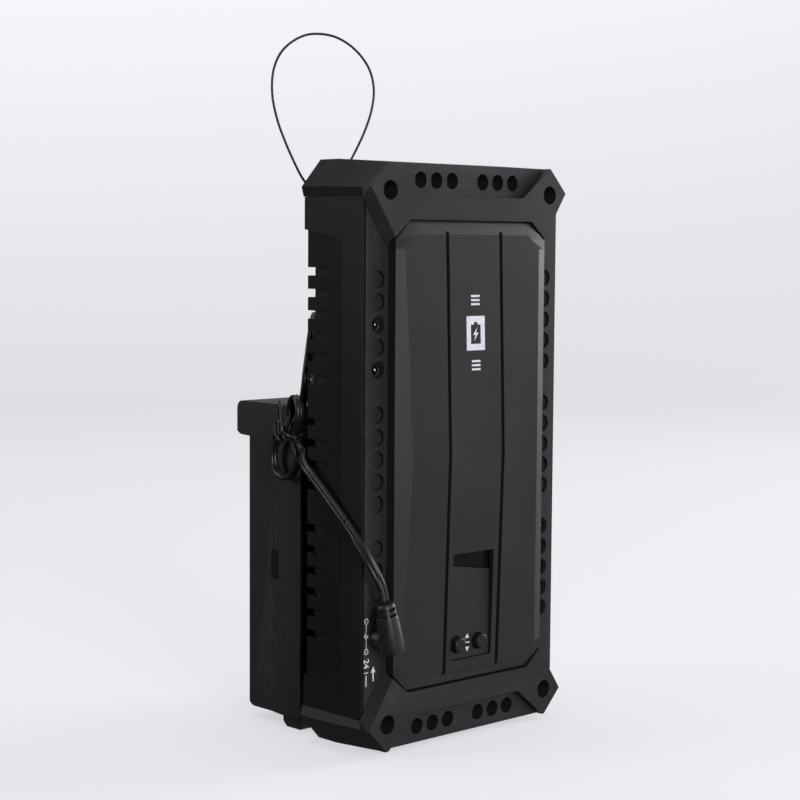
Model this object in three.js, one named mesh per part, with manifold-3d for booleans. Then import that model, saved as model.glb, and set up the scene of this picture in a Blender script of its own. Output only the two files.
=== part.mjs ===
// Portable 24 V battery power box: a tall, rugged black plastic control box that stands on one
// end bumper, with a clip-on battery pack on its back, a steel wire hanging loop, and a short
// power lead from the pack to the input socket at the box's front corner.
// Millimetres. +Z is up, -Y is the front (the side with the display), +X is to the right.
import * as THREE from 'three';
import { mergeVertices } from 'three/addons/utils/BufferGeometryUtils.js';
import Module from 'manifold-3d';

const wasm = await Module();
wasm.setup();

// ---------------------------------------------------------------- driving dimensions
const GAP = 0.3;                    // clearance between touching pieces

const HEIGHT = 286;                 // overall, bumper to bumper
const MID = HEIGHT / 2;
const BODY_HALF_WIDTH = 66.9;
const BODY_DEPTH = 43;              // front strip face to back face
const WALL = 2.5;
const SIDE_WALL = 3.4;

const SEAM = 125;                   // half-height at which the bumpers meet the body
const RIDGE_HALF_WIDTH = 68.5;      // the bumpers' widest line
const RIDGE_HEIGHT = 129.5;         // half-height of that line
const END_HALF_WIDTH = 56.5;        // half-width of a bumper's flat end
const ARMOUR_RISE = 5.5;            // how far the bumpers' face plates stand out of the strips
const ARMOUR_SLOPE = 3.6;           // how far the foot of the face plate spreads
const POCKET_RISE = 1.3;            // the outer pocket's floor above the strips
const PANEL_GAP = 1.0;              // groove between face plate and raised panel

const PANEL_HALF_WIDTH = 51.7;      // raised centre panel, at its rim
const PANEL_HALF_HEIGHT = 113;
const PANEL_CORNER_Z = 104.3;       // where the rim's corner cuts begin
const PANEL_CORNER_X = 41.6;
const CROWN_RISE = 9.8;             // panel's ridge at half height, above the strips
const CROWN_SLOPE = 0.0317;         // fall of the panel's face towards both ends
const END_RIM_Y = -4.2;             // the panel's rim is lower at its two ends
const PANEL_FACE_TAPER = 100;       // the face begins to narrow at this half-height
const PANEL_FACE_END = 107;         // and slopes down to the rim beyond this one
const PANEL_WALL = 3;
const GROOVE_X = 18.5;
const GROOVE_WIDTH = 2.3;
const GROOVE_DEPTH = 2.2;
const GROOVE_END = 108.5;           // half-height at which the grooves stop

const COVER_THICKNESS = 3;
const COLUMN_X = 57.8;              // the two hole columns in the strips
const HOLE_PITCH = 10.7;
const HOLE_RADIUS = 4.2;
const HOLE_DEPTH = 2;
const HOLE_SIDES = 18;

const OPENING_HALF_WIDTH = 14.2;    // control opening in the panel's middle strip
const OPENING_LOW = MID - 102.7;
const OPENING_HIGH = MID - 49.3;
const CONTROL_FACE = -5.2;          // y of the control plate's face
const BUTTON_Z = MID - 95;
const BUTTON_X = [-8.8, 6.4];
const BUTTON_RADIUS = 3.65;

const VENT_PITCH = 10.45;
const VENT_HEIGHT = 4;
const VENT_FRONT = 27;
const VENT_OPEN = 36.8;             // behind this the slots go right through
const VENT_WRAP = 60;               // the slots reach round the corner to this half-width
const VENT_RECESS = 2.9;            // depth of their blind part below the body's side

const SCREW_X = 55.2;
const SCREW_Z = 127.5;

const PACK_HALF_WIDTH = 56;
const PACK_FRONT = 58.4;
const PACK_SPLIT = 76;              // front case's rear edge
const PACK_REAR_START = 80.3;
const PACK_REAR = 102.3;
const PACK_REAR_HALF_WIDTH = 54.3;
const PACK_BOTTOM = 5.5;
const PACK_TOP = 164.5;
const PACK_WALL = 2.2;
const PACK_CORNER = 1.6;
const LIP_REAR = 109.4;
const LIP_LOW = 147;
const FOOT_REAR = 73.2;
const LATCH_LOW = 75;
const LATCH_HIGH = 89.8;

const MOUNT_HALF_WIDTH = 42;
const MOUNT_LOW = 20;
const MOUNT_HIGH = 150;
const WEDGE_LOW = 96;
const WEDGE_HIGH = 130;
const WEDGE_DEPTH = 7;

const LEAD_DIAMETER = 3.6;           // round equal of the flat twin lead, 4.8 wide and 2.7 thick
const WIRE_DIAMETER = 1.2;

// the row frame's origin is under the middle of the object's depth
const FRAME_SHIFT_Y = -(LIP_REAR - CROWN_RISE) / 2;

// ---------------------------------------------------------------- geometry helpers
function toSolid(geometry) {
  const bare = geometry.clone();
  bare.deleteAttribute('normal');
  bare.deleteAttribute('uv');
  const merged = mergeVertices(bare, 1e-4);
  const vertProperties = merged.attributes.position.array;
  const triVerts = new Uint32Array(merged.index.array);
  if (signedVolume(vertProperties, triVerts) < 0) {
    triVerts.reverse();
  }
  return new wasm.Manifold(new wasm.Mesh({ numProp: 3, vertProperties, triVerts }));
}

// negative when the faces point inwards
function signedVolume(positions, triangles) {
  const corner = (i) => new THREE.Vector3().fromArray(positions, 3 * triangles[i]);
  let volume = 0;
  for (let i = 0; i < triangles.length; i += 3) {
    volume += corner(i).dot(corner(i + 1).cross(corner(i + 2))) / 6;
  }
  return volume;
}

function toGeometry(solid) {
  const mesh = solid.getMesh();
  const geometry = new THREE.BufferGeometry();
  geometry.setAttribute('position', new THREE.BufferAttribute(mesh.vertProperties, 3));
  geometry.setIndex(new THREE.BufferAttribute(mesh.triVerts, 1));
  geometry.computeVertexNormals();
  return geometry;
}

const join = (...solids) => solids.reduce((sum, solid) => sum.add(solid));
const cut = (body, ...tools) => tools.reduce((rest, tool) => rest.subtract(tool), body);

function box([x0, x1], [y0, y1], [z0, z1]) {
  const geometry = new THREE.BoxGeometry(x1 - x0, y1 - y0, z1 - z0);
  geometry.translate((x0 + x1) / 2, (y0 + y1) / 2, (z0 + z1) / 2);
  return toSolid(geometry);
}

function cylinderY(x, z, radius, [y0, y1], sides = HOLE_SIDES) {
  const geometry = new THREE.CylinderGeometry(radius, radius, y1 - y0, sides);
  geometry.translate(x, (y0 + y1) / 2, z);
  return toSolid(geometry);
}

function cylinderZ(x, y, radii, [z0, z1], sides = 16) {
  const [lower, upper] = radii;
  const geometry = new THREE.CylinderGeometry(upper, lower, z1 - z0, sides);
  geometry.rotateX(Math.PI / 2);
  geometry.translate(x, y, (z0 + z1) / 2);
  return toSolid(geometry);
}

// a turned piece about the Y axis: profile points are [radius, y]
function turned(profile, x, z, sides = 14) {
  const points = profile.map(([radius, y]) => new THREE.Vector2(radius, y));
  const geometry = new THREE.LatheGeometry(points, sides);
  geometry.translate(x, 0, z);
  return toSolid(geometry);
}

// an outline of [x, z] points, from y0 back to y1
function prismY(outline, [y0, y1]) {
  const shape = new THREE.Shape(outline.map(([x, z]) => new THREE.Vector2(x, z)));
  const geometry = new THREE.ExtrudeGeometry(shape, { depth: y1 - y0, bevelEnabled: false });
  geometry.rotateX(Math.PI / 2);
  geometry.translate(0, y1, 0);
  return toSolid(geometry);
}

// an outline of [y, z] points, from x0 across to x1
function prismX(outline, [x0, x1]) {
  const shape = new THREE.Shape(outline.map(([y, z]) => new THREE.Vector2(y, z)));
  const geometry = new THREE.ExtrudeGeometry(shape, { depth: x1 - x0, bevelEnabled: false });
  const alongX = new THREE.Matrix4().makeBasis(
    new THREE.Vector3(0, 1, 0), new THREE.Vector3(0, 0, 1), new THREE.Vector3(1, 0, 0));
  geometry.applyMatrix4(alongX);
  geometry.translate(x0, 0, 0);
  return toSolid(geometry);
}

// an outline of [x, y] points, from z0 up to z1
function prismZ(outline, [z0, z1]) {
  const shape = new THREE.Shape(outline.map(([x, y]) => new THREE.Vector2(x, y)));
  const geometry = new THREE.ExtrudeGeometry(shape, { depth: z1 - z0, bevelEnabled: false });
  geometry.translate(0, 0, z0);
  return toSolid(geometry);
}

// skins a stack of rings that have the same number of [x, y, z] points; the flat axis of the
// end caps (0 = x, 1 = y, 2 = z) says which coordinate their triangulation drops
function loft(rings, flatAxis) {
  const count = rings[0].length;
  const positions = rings.flat(2);
  const index = [];
  for (let level = 0; level + 1 < rings.length; level += 1) {
    for (let i = 0; i < count; i += 1) {
      const a = level * count + i;
      const b = level * count + (i + 1) % count;
      index.push(a, b, b + count, a, b + count, a + count);
    }
  }
  const [u, v] = [0, 1, 2].filter((axis) => axis !== flatAxis);
  const flat = rings[0].map((point) => new THREE.Vector2(point[u], point[v]));
  const caps = THREE.ShapeUtils.triangulateShape(flat, []);
  const lastRing = (rings.length - 1) * count;
  const clockwise = THREE.ShapeUtils.isClockWise(flat);
  for (const [a, b, c] of caps) {
    const facing = clockwise ? [a, b, c] : [a, c, b];
    index.push(...facing);
    index.push(lastRing + facing[0], lastRing + facing[2], lastRing + facing[1]);
  }
  const geometry = new THREE.BufferGeometry();
  geometry.setAttribute('position', new THREE.Float32BufferAttribute(positions, 3));
  geometry.setIndex(index);
  return toSolid(geometry);
}

// moves every side of a counter-clockwise outline outwards by a distance
function offsetOutline(outline, distance) {
  return outline.map((point, i) => {
    const before = outline[(i + outline.length - 1) % outline.length];
    const after = outline[(i + 1) % outline.length];
    const normalIn = sideNormal(before, point);
    const normalOut = sideNormal(point, after);
    const dot = normalIn[0] * normalOut[0] + normalIn[1] * normalOut[1];
    const reach = distance / (1 + dot);
    return [
      point[0] + (normalIn[0] + normalOut[0]) * reach,
      point[1] + (normalIn[1] + normalOut[1]) * reach,
    ];
  });
}

function sideNormal([x0, y0], [x1, y1]) {
  const length = Math.hypot(x1 - x0, y1 - y0);
  return [(y1 - y0) / length, (x0 - x1) / length];
}

function arc([cx, cy], radius, fromDegrees, toDegrees, steps) {
  const points = [];
  for (let i = 0; i <= steps; i += 1) {
    const angle = THREE.MathUtils.degToRad(fromDegrees + (toDegrees - fromDegrees) * i / steps);
    points.push([cx + radius * Math.cos(angle), cy + radius * Math.sin(angle)]);
  }
  return points;
}

// a round cable along a smooth curve through the given points
function cable(points, diameter, sides, steps) {
  const path = new THREE.CatmullRomCurve3(points.map((p) => new THREE.Vector3(...p)), false, 'centripetal');
  const section = new THREE.Shape(arc([0, 0], diameter / 2, 0, 360 - 360 / sides, sides - 1)
    .map(([x, y]) => new THREE.Vector2(x, y)));
  return toSolid(new THREE.ExtrudeGeometry(section, { steps, extrudePath: path, bevelEnabled: false }));
}

const mirroredX = (solid) => solid.mirror([1, 0, 0]);

// turns a top-end piece over to the bottom end, about the Y axis through the box's middle
const flippedEnd = (solid) => solid.translate([0, 0, -MID]).rotate([0, 180, 0]).translate([0, 0, MID]);

// ---------------------------------------------------------------- materials
const finish = (color, roughness, metalness = 0) =>
  new THREE.MeshStandardMaterial({ color, roughness, metalness });

const materials = {
  shell: finish(0x1b1b1d, 0.5),
  panel: finish(0x232326, 0.45),
  bumper: finish(0x1d1d1f, 0.55),
  packCase: finish(0x19191b, 0.5),
  lens: finish(0x2a1714, 0.15),
  lead: finish(0x161617, 0.4),
  steel: finish(0x9a9a9c, 0.35, 1),
  blackWire: finish(0x202022, 0.4, 0.6),
  darkScrew: finish(0x2c2c2e, 0.4, 0.9),
  circuitBoard: finish(0x1f4a33, 0.6),
  socket: finish(0x151516, 0.5),
  aluminium: finish(0xa8abad, 0.4, 0.9),
  cell: finish(0x3c6f8f, 0.5),
};

const model = new THREE.Group();
model.position.y = FRAME_SHIFT_Y;

function addPiece(name, solid, material, parent = model) {
  const mesh = new THREE.Mesh(toGeometry(solid), material);
  mesh.name = name;
  parent.add(mesh);
  return mesh;
}

// ---------------------------------------------------------------- raised panel's outline
const panelRim = [
  [-PANEL_HALF_WIDTH, -PANEL_CORNER_Z], [-PANEL_CORNER_X, -PANEL_HALF_HEIGHT],
  [PANEL_CORNER_X, -PANEL_HALF_HEIGHT], [PANEL_HALF_WIDTH, -PANEL_CORNER_Z],
  [PANEL_HALF_WIDTH, PANEL_CORNER_Z], [PANEL_CORNER_X, PANEL_HALF_HEIGHT],
  [-PANEL_CORNER_X, PANEL_HALF_HEIGHT], [-PANEL_HALF_WIDTH, PANEL_CORNER_Z],
].map(([x, z]) => [x, z + MID]);

// y of the crowned face, at a height above or below the middle
const crownY = (fromMiddle) => -CROWN_RISE + CROWN_SLOPE * Math.abs(fromMiddle);

// half-width of the rim, which narrows along the corner cuts
function rimHalfWidth(fromMiddle) {
  const intoCut = (fromMiddle - PANEL_CORNER_Z) / (PANEL_HALF_HEIGHT - PANEL_CORNER_Z);
  return PANEL_HALF_WIDTH - Math.max(0, intoCut) * (PANEL_HALF_WIDTH - PANEL_CORNER_X);
}

// the crowned panel as a stack of cross-sections; inset makes the hollow behind it
function crownedPanel(inset, backY) {
  // [height from the middle, face half-width, rim y, face y]
  const upperHalf = [
    [0, 43.3, -ARMOUR_RISE, crownY(0)],
    [PANEL_FACE_TAPER, 46.4, -ARMOUR_RISE, crownY(PANEL_FACE_TAPER)],
    [PANEL_CORNER_Z, 42, -ARMOUR_RISE, crownY(PANEL_CORNER_Z)],
    [PANEL_FACE_END, 38.8, -5.2, crownY(PANEL_FACE_END)],
    [PANEL_HALF_HEIGHT, 35.5, END_RIM_Y, END_RIM_Y - 0.05],
  ];
  const lowerHalf = upperHalf.slice(1).reverse().map(([height, ...rest]) => [-height, ...rest]);
  const shrink = 1 - inset / PANEL_HALF_HEIGHT;
  const rings = [...lowerHalf, ...upperHalf].map(([fromMiddle, face, rimY, faceY]) => {
    const z = MID + fromMiddle * shrink;
    const rim = rimHalfWidth(Math.abs(fromMiddle)) - inset;
    const top = face - inset;
    return [
      [-rim, backY, z], [rim, backY, z], [rim, rimY + inset, z],
      [top, faceY + inset, z], [-top, faceY + inset, z], [-rim, rimY + inset, z],
    ];
  });
  return loft(rings, 2);
}

// ---------------------------------------------------------------- front cover
// hole columns: places 0 to 16 from the top; 5 and 11 are left blank
const OPEN_LEFT = { 2: 'channel_socket_1', 4: 'channel_socket_2', 16: 'input_socket' };
const OPEN_RIGHT = {
  12: 'output_socket_1', 13: 'output_socket_2', 14: 'output_socket_3',
  15: 'output_socket_4', 16: 'output_socket_5',
};
const BLANK_PLACES = [5, 11];
const holeZ = (place) => MID + (8 - place) * HOLE_PITCH;

function stripHoles() {
  const holes = [];
  for (let place = 0; place <= 16; place += 1) {
    if (!BLANK_PLACES.includes(place)) {
      for (const [side, open] of [[-1, OPEN_LEFT], [1, OPEN_RIGHT]]) {
        const depth = open[place] ? COVER_THICKNESS + 1 : HOLE_DEPTH;
        holes.push(cylinderY(side * COLUMN_X, holeZ(place), HOLE_RADIUS, [-1, depth]));
      }
    }
  }
  return holes;
}

function panelGroove(x) {
  const rings = [-GROOVE_END, 0, GROOVE_END].map((fromMiddle) => {
    const floor = crownY(fromMiddle) + GROOVE_DEPTH;
    const z = MID + fromMiddle;
    const [x0, x1] = [x - GROOVE_WIDTH / 2, x + GROOVE_WIDTH / 2];
    return [[x0, floor, z], [x1, floor, z], [x1, -20, z], [x0, -20, z]];
  });
  return loft(rings, 2);
}

const screwPlaces = [[-SCREW_X, MID + SCREW_Z], [SCREW_X, MID + SCREW_Z],
  [-SCREW_X, MID - SCREW_Z], [SCREW_X, MID - SCREW_Z]];

const screwClearances = () => screwPlaces.map(([x, z]) => cylinderY(x, z, 4.9, [-2, 8]));

const coverHalfWidth = BODY_HALF_WIDTH - 1.1;

const frontCover = cut(
  join(
    box([-coverHalfWidth, coverHalfWidth], [0, COVER_THICKNESS], [MID - SEAM + GAP, MID + SEAM - GAP]),
    crownedPanel(0, COVER_THICKNESS - 0.5),
  ),
  crownedPanel(PANEL_WALL, COVER_THICKNESS + 1),
  panelGroove(-GROOVE_X),
  panelGroove(GROOVE_X),
  box([-OPENING_HALF_WIDTH, OPENING_HALF_WIDTH], [-20, 0], [OPENING_LOW, OPENING_HIGH]),
  ...stripHoles(),
  ...screwClearances(),
);
addPiece('front_cover', frontCover, materials.panel);

// ---------------------------------------------------------------- rear shell
function ventComb() {
  const slots = [];
  for (let place = 0; place <= 17; place += 1) {
    if (place !== 6 && place !== 11) {
      const z = MID + (8.5 - place) * VENT_PITCH;
      const span = [z - VENT_HEIGHT / 2, z + VENT_HEIGHT / 2];
      const slot = join(
        box([VENT_WRAP, BODY_HALF_WIDTH + 1], [VENT_OPEN, BODY_DEPTH + 1], span),
        box([BODY_HALF_WIDTH - VENT_RECESS, BODY_HALF_WIDTH + 1], [VENT_FRONT, VENT_OPEN + 1], span),
      );
      slots.push(slot, mirroredX(slot));
    }
  }
  return slots;
}

// the shallow panel round the vents, deeper and taller towards the back
function sideRelief() {
  const [front, back] = [16, BODY_DEPTH + 0.5];
  const section = [
    [BODY_HALF_WIDTH + 1, front], [BODY_HALF_WIDTH + 1, back],
    [BODY_HALF_WIDTH - 2.2, back], [BODY_HALF_WIDTH - 0.6, front],
  ];
  const reach = (y) => 104 + 0.19 * (y - front);
  const rings = [-1, 1].map((end) => section.map(([x, y]) => [x, y, MID + end * reach(y)]));
  const relief = loft(rings, 2);
  return [relief, mirroredX(relief)];
}

const BOARD_POSTS = [[-46, 42], [46, 42], [-46, 244], [46, 244]];
const PLATE_SCREWS = [[-34, 34], [34, 34], [-34, 140], [34, 140]];
const BOARD_BACK = 31.6;

function rearShell() {
  const [low, high] = [MID - SEAM + GAP, MID + SEAM - GAP];
  const innerHalf = BODY_HALF_WIDTH - SIDE_WALL;
  const rimHalf = coverHalfWidth + 0.2;
  const ear = join(...[-1, 1].map((side) => box(
    side < 0 ? [-58, -51] : [51, 58], [14, 36], [high - 1, MID + 131.5])));
  const body = join(
    cut(
      box([-BODY_HALF_WIDTH, BODY_HALF_WIDTH], [0.6, BODY_DEPTH], [low, high]),
      box([-innerHalf, innerHalf], [-1, BODY_DEPTH - WALL], [low + WALL, high - WALL]),
      box([-rimHalf, rimHalf], [-1, COVER_THICKNESS + GAP], [low - 1, high + 1]),
    ),
    ear,
    flippedEnd(ear),
    ...BOARD_POSTS.map(([x, z]) => cylinderY(x, z, 4, [BOARD_BACK + GAP, BODY_DEPTH - 1], 12)),
  );
  return cut(
    body,
    ...ventComb(),
    ...sideRelief(),
    ...screwClearances(),
    ...screwPlaces.map(([x, z]) => cylinderY(x, z, 2.3, [10, 40], 12)),
    ...PLATE_SCREWS.map(([x, z]) => cylinderY(x, z, 2.1, [36, BODY_DEPTH + 1], 10)),
  );
}

addPiece('rear_shell', rearShell(), materials.shell);

// ---------------------------------------------------------------- end bumpers
const bumperOutline = [
  [-67.2, SEAM], [67.2, SEAM], [RIDGE_HALF_WIDTH, RIDGE_HEIGHT],
  [END_HALF_WIDTH, MID], [-END_HALF_WIDTH, MID], [-RIDGE_HALF_WIDTH, RIDGE_HEIGHT],
].map(([x, z]) => [x, z + MID]);

// the face plate reaches down both sides of the raised panel
const armourOutline = [
  [-67.2, 128.6], [-51.2, 104.8], [-42, 112], [42, 112], [51.2, 104.8], [67.2, 128.6],
  [55.8, 140.6], [-55.8, 140.6],
].map(([x, z]) => [x, z + MID]);

const pocketOutline = [
  [-35.8, 125.5], [35.8, 125.5], [58.6, MID + 1], [-58.6, MID + 1],
].map(([x, z]) => [x, z + MID]);

const atDepth = (outline, y) => outline.map(([x, z]) => [x, y, z]);

// the flat end slopes away towards the front, as moulding draft does
const DRAFT_START = 30;
const END_DRAFT = 2.2;
const RIDGE_DRAFT = 0.9;

const draftedOutline = bumperOutline.map(([x, z]) => {
  if (z === HEIGHT) return [x, z - END_DRAFT];
  if (z === MID + RIDGE_HEIGHT) return [x * (1 - 0.4 / RIDGE_HALF_WIDTH), z - RIDGE_DRAFT];
  return [x, z];
});

function topBumper() {
  const facePlate = loft([
    atDepth(armourOutline, -ARMOUR_RISE),
    atDepth(offsetOutline(armourOutline, ARMOUR_SLOPE), -GAP),
  ], 1);
  const frontZone = prismY(
    [[-RIDGE_HALF_WIDTH, MID + 90], [RIDGE_HALF_WIDTH, MID + 90], ...draftedOutline.slice(2)],
    [-ARMOUR_RISE - 1, 0]);
  const cap = loft([
    atDepth(draftedOutline, -POCKET_RISE),
    atDepth(bumperOutline, DRAFT_START),
    atDepth(bumperOutline, BODY_DEPTH + 0.4),
  ], 1);
  const cavity = prismY([
    [-63.4, SEAM - 1], [63.4, SEAM - 1], [63.4, 128], [53.4, 139.4], [-53.4, 139.4], [-63.4, 128],
  ].map(([x, z]) => [x, z + MID]), [8, BODY_DEPTH - WALL]);
  const holes = [];
  for (const place of [-3, -2, -1, 1, 2, 3]) {
    holes.push(cylinderY(place * 10.6, MID + 132.9, 4, [-3, 6]));
  }
  for (const side of [-1, 1]) {
    holes.push(cylinderY(side * SCREW_X, MID + SCREW_Z, 4.6, [-7, 6]));
    holes.push(cylinderY(side * SCREW_X, MID + SCREW_Z, 2.4, [5, 9], 12));
  }
  return cut(
    join(facePlate.intersect(frontZone), cap),
    prismY(offsetOutline(panelRim, PANEL_GAP), [-ARMOUR_RISE - 1, 0]),
    prismY(pocketOutline, [-ARMOUR_RISE - 1, -POCKET_RISE]),
    cavity,
    ...holes,
  );
}

const bumper = topBumper();
addPiece('top_bumper', bumper, materials.bumper);
addPiece('bottom_bumper', flippedEnd(bumper), materials.bumper);

screwPlaces.forEach(([x, z], i) => {
  const screw = turned([
    [0, 3.6], [1.7, 3.6], [1.7, 2], [3.4, 2], [3.4, 5.7], [1.9, 5.7], [1.9, 26], [0, 26],
  ], x, z);
  addPiece(`corner_screw_${i + 1}`, screw, materials.darkScrew);
});

// ---------------------------------------------------------------- controls and display
const plateTop = { left: MID - 55.3, right: MID - 59.5 };     // its top edge slants

function controlPlate() {
  const half = OPENING_HALF_WIDTH - GAP;
  const face = prismY([
    [-half, OPENING_LOW + GAP], [half, OPENING_LOW + GAP], [half, plateTop.right], [-half, plateTop.left],
  ], [CONTROL_FACE, -2.6]);
  const flange = box([-17, 17], [-2.9, -1.7], [OPENING_LOW - 2, OPENING_HIGH + 2]);
  return cut(
    join(face, flange),
    ...BUTTON_X.map((x) => cylinderY(x, BUTTON_Z, 4.25, [-8, 0])),
    box([-12, 12], [-4, -1], [plateTop.left + 1, OPENING_HIGH - 1]),
  );
}
addPiece('control_plate', controlPlate(), materials.panel);

const lensHalf = OPENING_HALF_WIDTH - GAP;
addPiece('display_lens', prismY([
  [-lensHalf, plateTop.left + GAP], [lensHalf, plateTop.right + GAP],
  [lensHalf, OPENING_HIGH - GAP], [-lensHalf, OPENING_HIGH - GAP],
], [-4.6, -3.5]), materials.lens);

addPiece('segment_display', box([-11.5, 11.5], [-1.4, 4.9], [82, 99]), materials.socket);
addPiece('display_board', box([-20, 20], [5.2, 6.8], [38, 101]), materials.circuitBoard);

const BUTTON_TRAVEL = 0.9;
['address_down', 'address_up'].forEach((name, i) => {
  const x = BUTTON_X[i];
  const button = turned([
    [0, -8.7], [3.2, -8.7], [BUTTON_RADIUS, -8.2], [BUTTON_RADIUS, -1.4],
    [5.2, -1.4], [5.2, -0.4], [1.5, -0.4], [1.5, 0.2], [0, 0.2],
  ], x, BUTTON_Z, 18);
  addPiece(`${name}_button`, button, materials.panel);
  const switchTop = 0.2 + BUTTON_TRAVEL + 0.2;
  addPiece(`${name}_switch`, join(
    cylinderY(x, BUTTON_Z, 1.7, [switchTop, 3], 10),
    box([x - 3, x + 3], [2.4, 4.9], [BUTTON_Z - 3, BUTTON_Z + 3]),
  ), materials.socket);
});

// ---------------------------------------------------------------- power sockets
// a round well with a centre pin, held against the back of the cover by its flange
function powerSocket(x, place) {
  return turned([
    [0, 1.6], [0.95, 1.6], [0.95, 10], [3.1, 10], [3.1, 0.7], [3.9, 0.7],
    [3.9, 3.3], [5.1, 3.3], [5.1, 15], [0, 15],
  ], x, holeZ(place), 12);
}
for (const [side, open] of [[-1, OPEN_LEFT], [1, OPEN_RIGHT]]) {
  for (const [place, name] of Object.entries(open)) {
    addPiece(name, powerSocket(side * COLUMN_X, Number(place)), materials.socket);
  }
}

// ---------------------------------------------------------------- electronics in the box
addPiece('main_board', box([-52, 52], [BOARD_BACK - 1.6, BOARD_BACK], [34, 252]), materials.circuitBoard);

function heatSink() {
  const base = box([-30, 30], [27.2, 29.7], [120, 200]);
  const fins = [];
  for (let i = 0; i < 7; i += 1) {
    const x = -30 + i * 9.6;
    fins.push(box([x, x + 2.4], [14, 27.5], [120, 200]));
  }
  return join(base, ...fins);
}
addPiece('heat_sink', heatSink(), materials.aluminium);
addPiece('filter_capacitor_1', cylinderY(-30, 90, 8, [12, 29.7], 14), materials.aluminium);
addPiece('filter_capacitor_2', cylinderY(-8, 90, 8, [12, 29.7], 14), materials.aluminium);
addPiece('radio_module', box([22, 46], [27.4, 29.7], [70, 100]), materials.circuitBoard);

// ---------------------------------------------------------------- pack mount on the box's back
// the wedge is widest at its deep end, so the pack can only leave upwards
function wedgeOutline(grow) {
  return [
    [-13 - grow, WEDGE_LOW - grow], [13 + grow, WEDGE_LOW - grow],
    [21 + grow, WEDGE_HIGH + grow], [-21 - grow, WEDGE_HIGH + grow],
  ];
}

function wedge(grow, deepY, outerY) {
  return loft([
    atDepth(wedgeOutline(grow + 2), deepY),
    atDepth(wedgeOutline(grow), outerY),
  ], 1);
}

const mountFace = PACK_FRONT - 0.6;
const wedgeDeep = mountFace - WEDGE_DEPTH;
const throatHalfWidth = 23.8;

const mountPlate = cut(
  box([-MOUNT_HALF_WIDTH, MOUNT_HALF_WIDTH], [BODY_DEPTH + GAP, mountFace], [MOUNT_LOW, MOUNT_HIGH]),
  wedge(0.4, wedgeDeep - 0.4, mountFace + 0.4),
  box([-throatHalfWidth, throatHalfWidth], [wedgeDeep - 0.9, mountFace + 1], [WEDGE_HIGH - 1, MOUNT_HIGH + 1]),
  ...PLATE_SCREWS.map(([x, z]) => cylinderY(x, z, 3.9, [BODY_DEPTH + 6, mountFace + 1], 12)),
  ...PLATE_SCREWS.map(([x, z]) => cylinderY(x, z, 2.1, [BODY_DEPTH - 1, BODY_DEPTH + 7], 10)),
);
addPiece('pack_mount', mountPlate, materials.shell);

PLATE_SCREWS.forEach(([x, z], i) => {
  const screw = turned([
    [0, 37], [1.75, 37], [1.75, BODY_DEPTH + 6.3], [3.5, BODY_DEPTH + 6.3],
    [3.5, BODY_DEPTH + 9], [0, BODY_DEPTH + 9],
  ], x, z, 12);
  addPiece(`mount_screw_${i + 1}`, screw, materials.steel);
});

// ---------------------------------------------------------------- battery pack
function roundedPlan(halfWidth, [y0, y1], radius) {
  return [
    [-halfWidth, y0], [halfWidth, y0],
    ...arc([halfWidth - radius, y1 - radius], radius, 0, 90, 4),
    ...arc([-halfWidth + radius, y1 - radius], radius, 90, 180, 4),
  ];
}

const latchWindow = [[PACK_SPLIT + 0.6, LATCH_LOW], [83.4, LATCH_LOW], [83.4, LATCH_HIGH],
  [PACK_SPLIT + 0.6, LATCH_HIGH]];

function packFrontCase() {
  const shell = cut(
    box([-PACK_HALF_WIDTH, PACK_HALF_WIDTH], [PACK_FRONT, PACK_SPLIT], [PACK_BOTTOM, PACK_TOP]),
    box([-PACK_HALF_WIDTH + PACK_WALL, PACK_HALF_WIDTH - PACK_WALL], [PACK_FRONT + PACK_WALL, PACK_SPLIT + 1],
      [PACK_BOTTOM + PACK_WALL, PACK_TOP - PACK_WALL]),
  );
  const foot = prismX([
    [PACK_FRONT, 1], [PACK_FRONT + 1.5, 0], [FOOT_REAR - 3, 0], [FOOT_REAR, 2.5],
    [FOOT_REAR, PACK_BOTTOM + 1], [PACK_FRONT, PACK_BOTTOM + 1],
  ], [-PACK_HALF_WIDTH + 1, PACK_HALF_WIDTH - 1]);
  return join(shell, foot, wedge(0, wedgeDeep, PACK_FRONT + 0.5));
}
addPiece('pack_front_case', packFrontCase(), materials.packCase);

// side view of the rear case's raised cheeks, with the lip and its curved gusset
const lipOutline = [
  [PACK_SPLIT + GAP, PACK_BOTTOM], [PACK_REAR_START, PACK_BOTTOM], [PACK_REAR_START, 130],
  [83.7, 133.6], [86.6, 137.8], [90.2, 141.8], [94.4, 144.9], [99.2, 146.6],
  [106.6, LIP_LOW], [LIP_REAR, LIP_LOW + 1.6],
  ...arc([LIP_REAR - 4, PACK_TOP - 4], 4, 0, 90, 4), [PACK_SPLIT + GAP, PACK_TOP],
];

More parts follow.
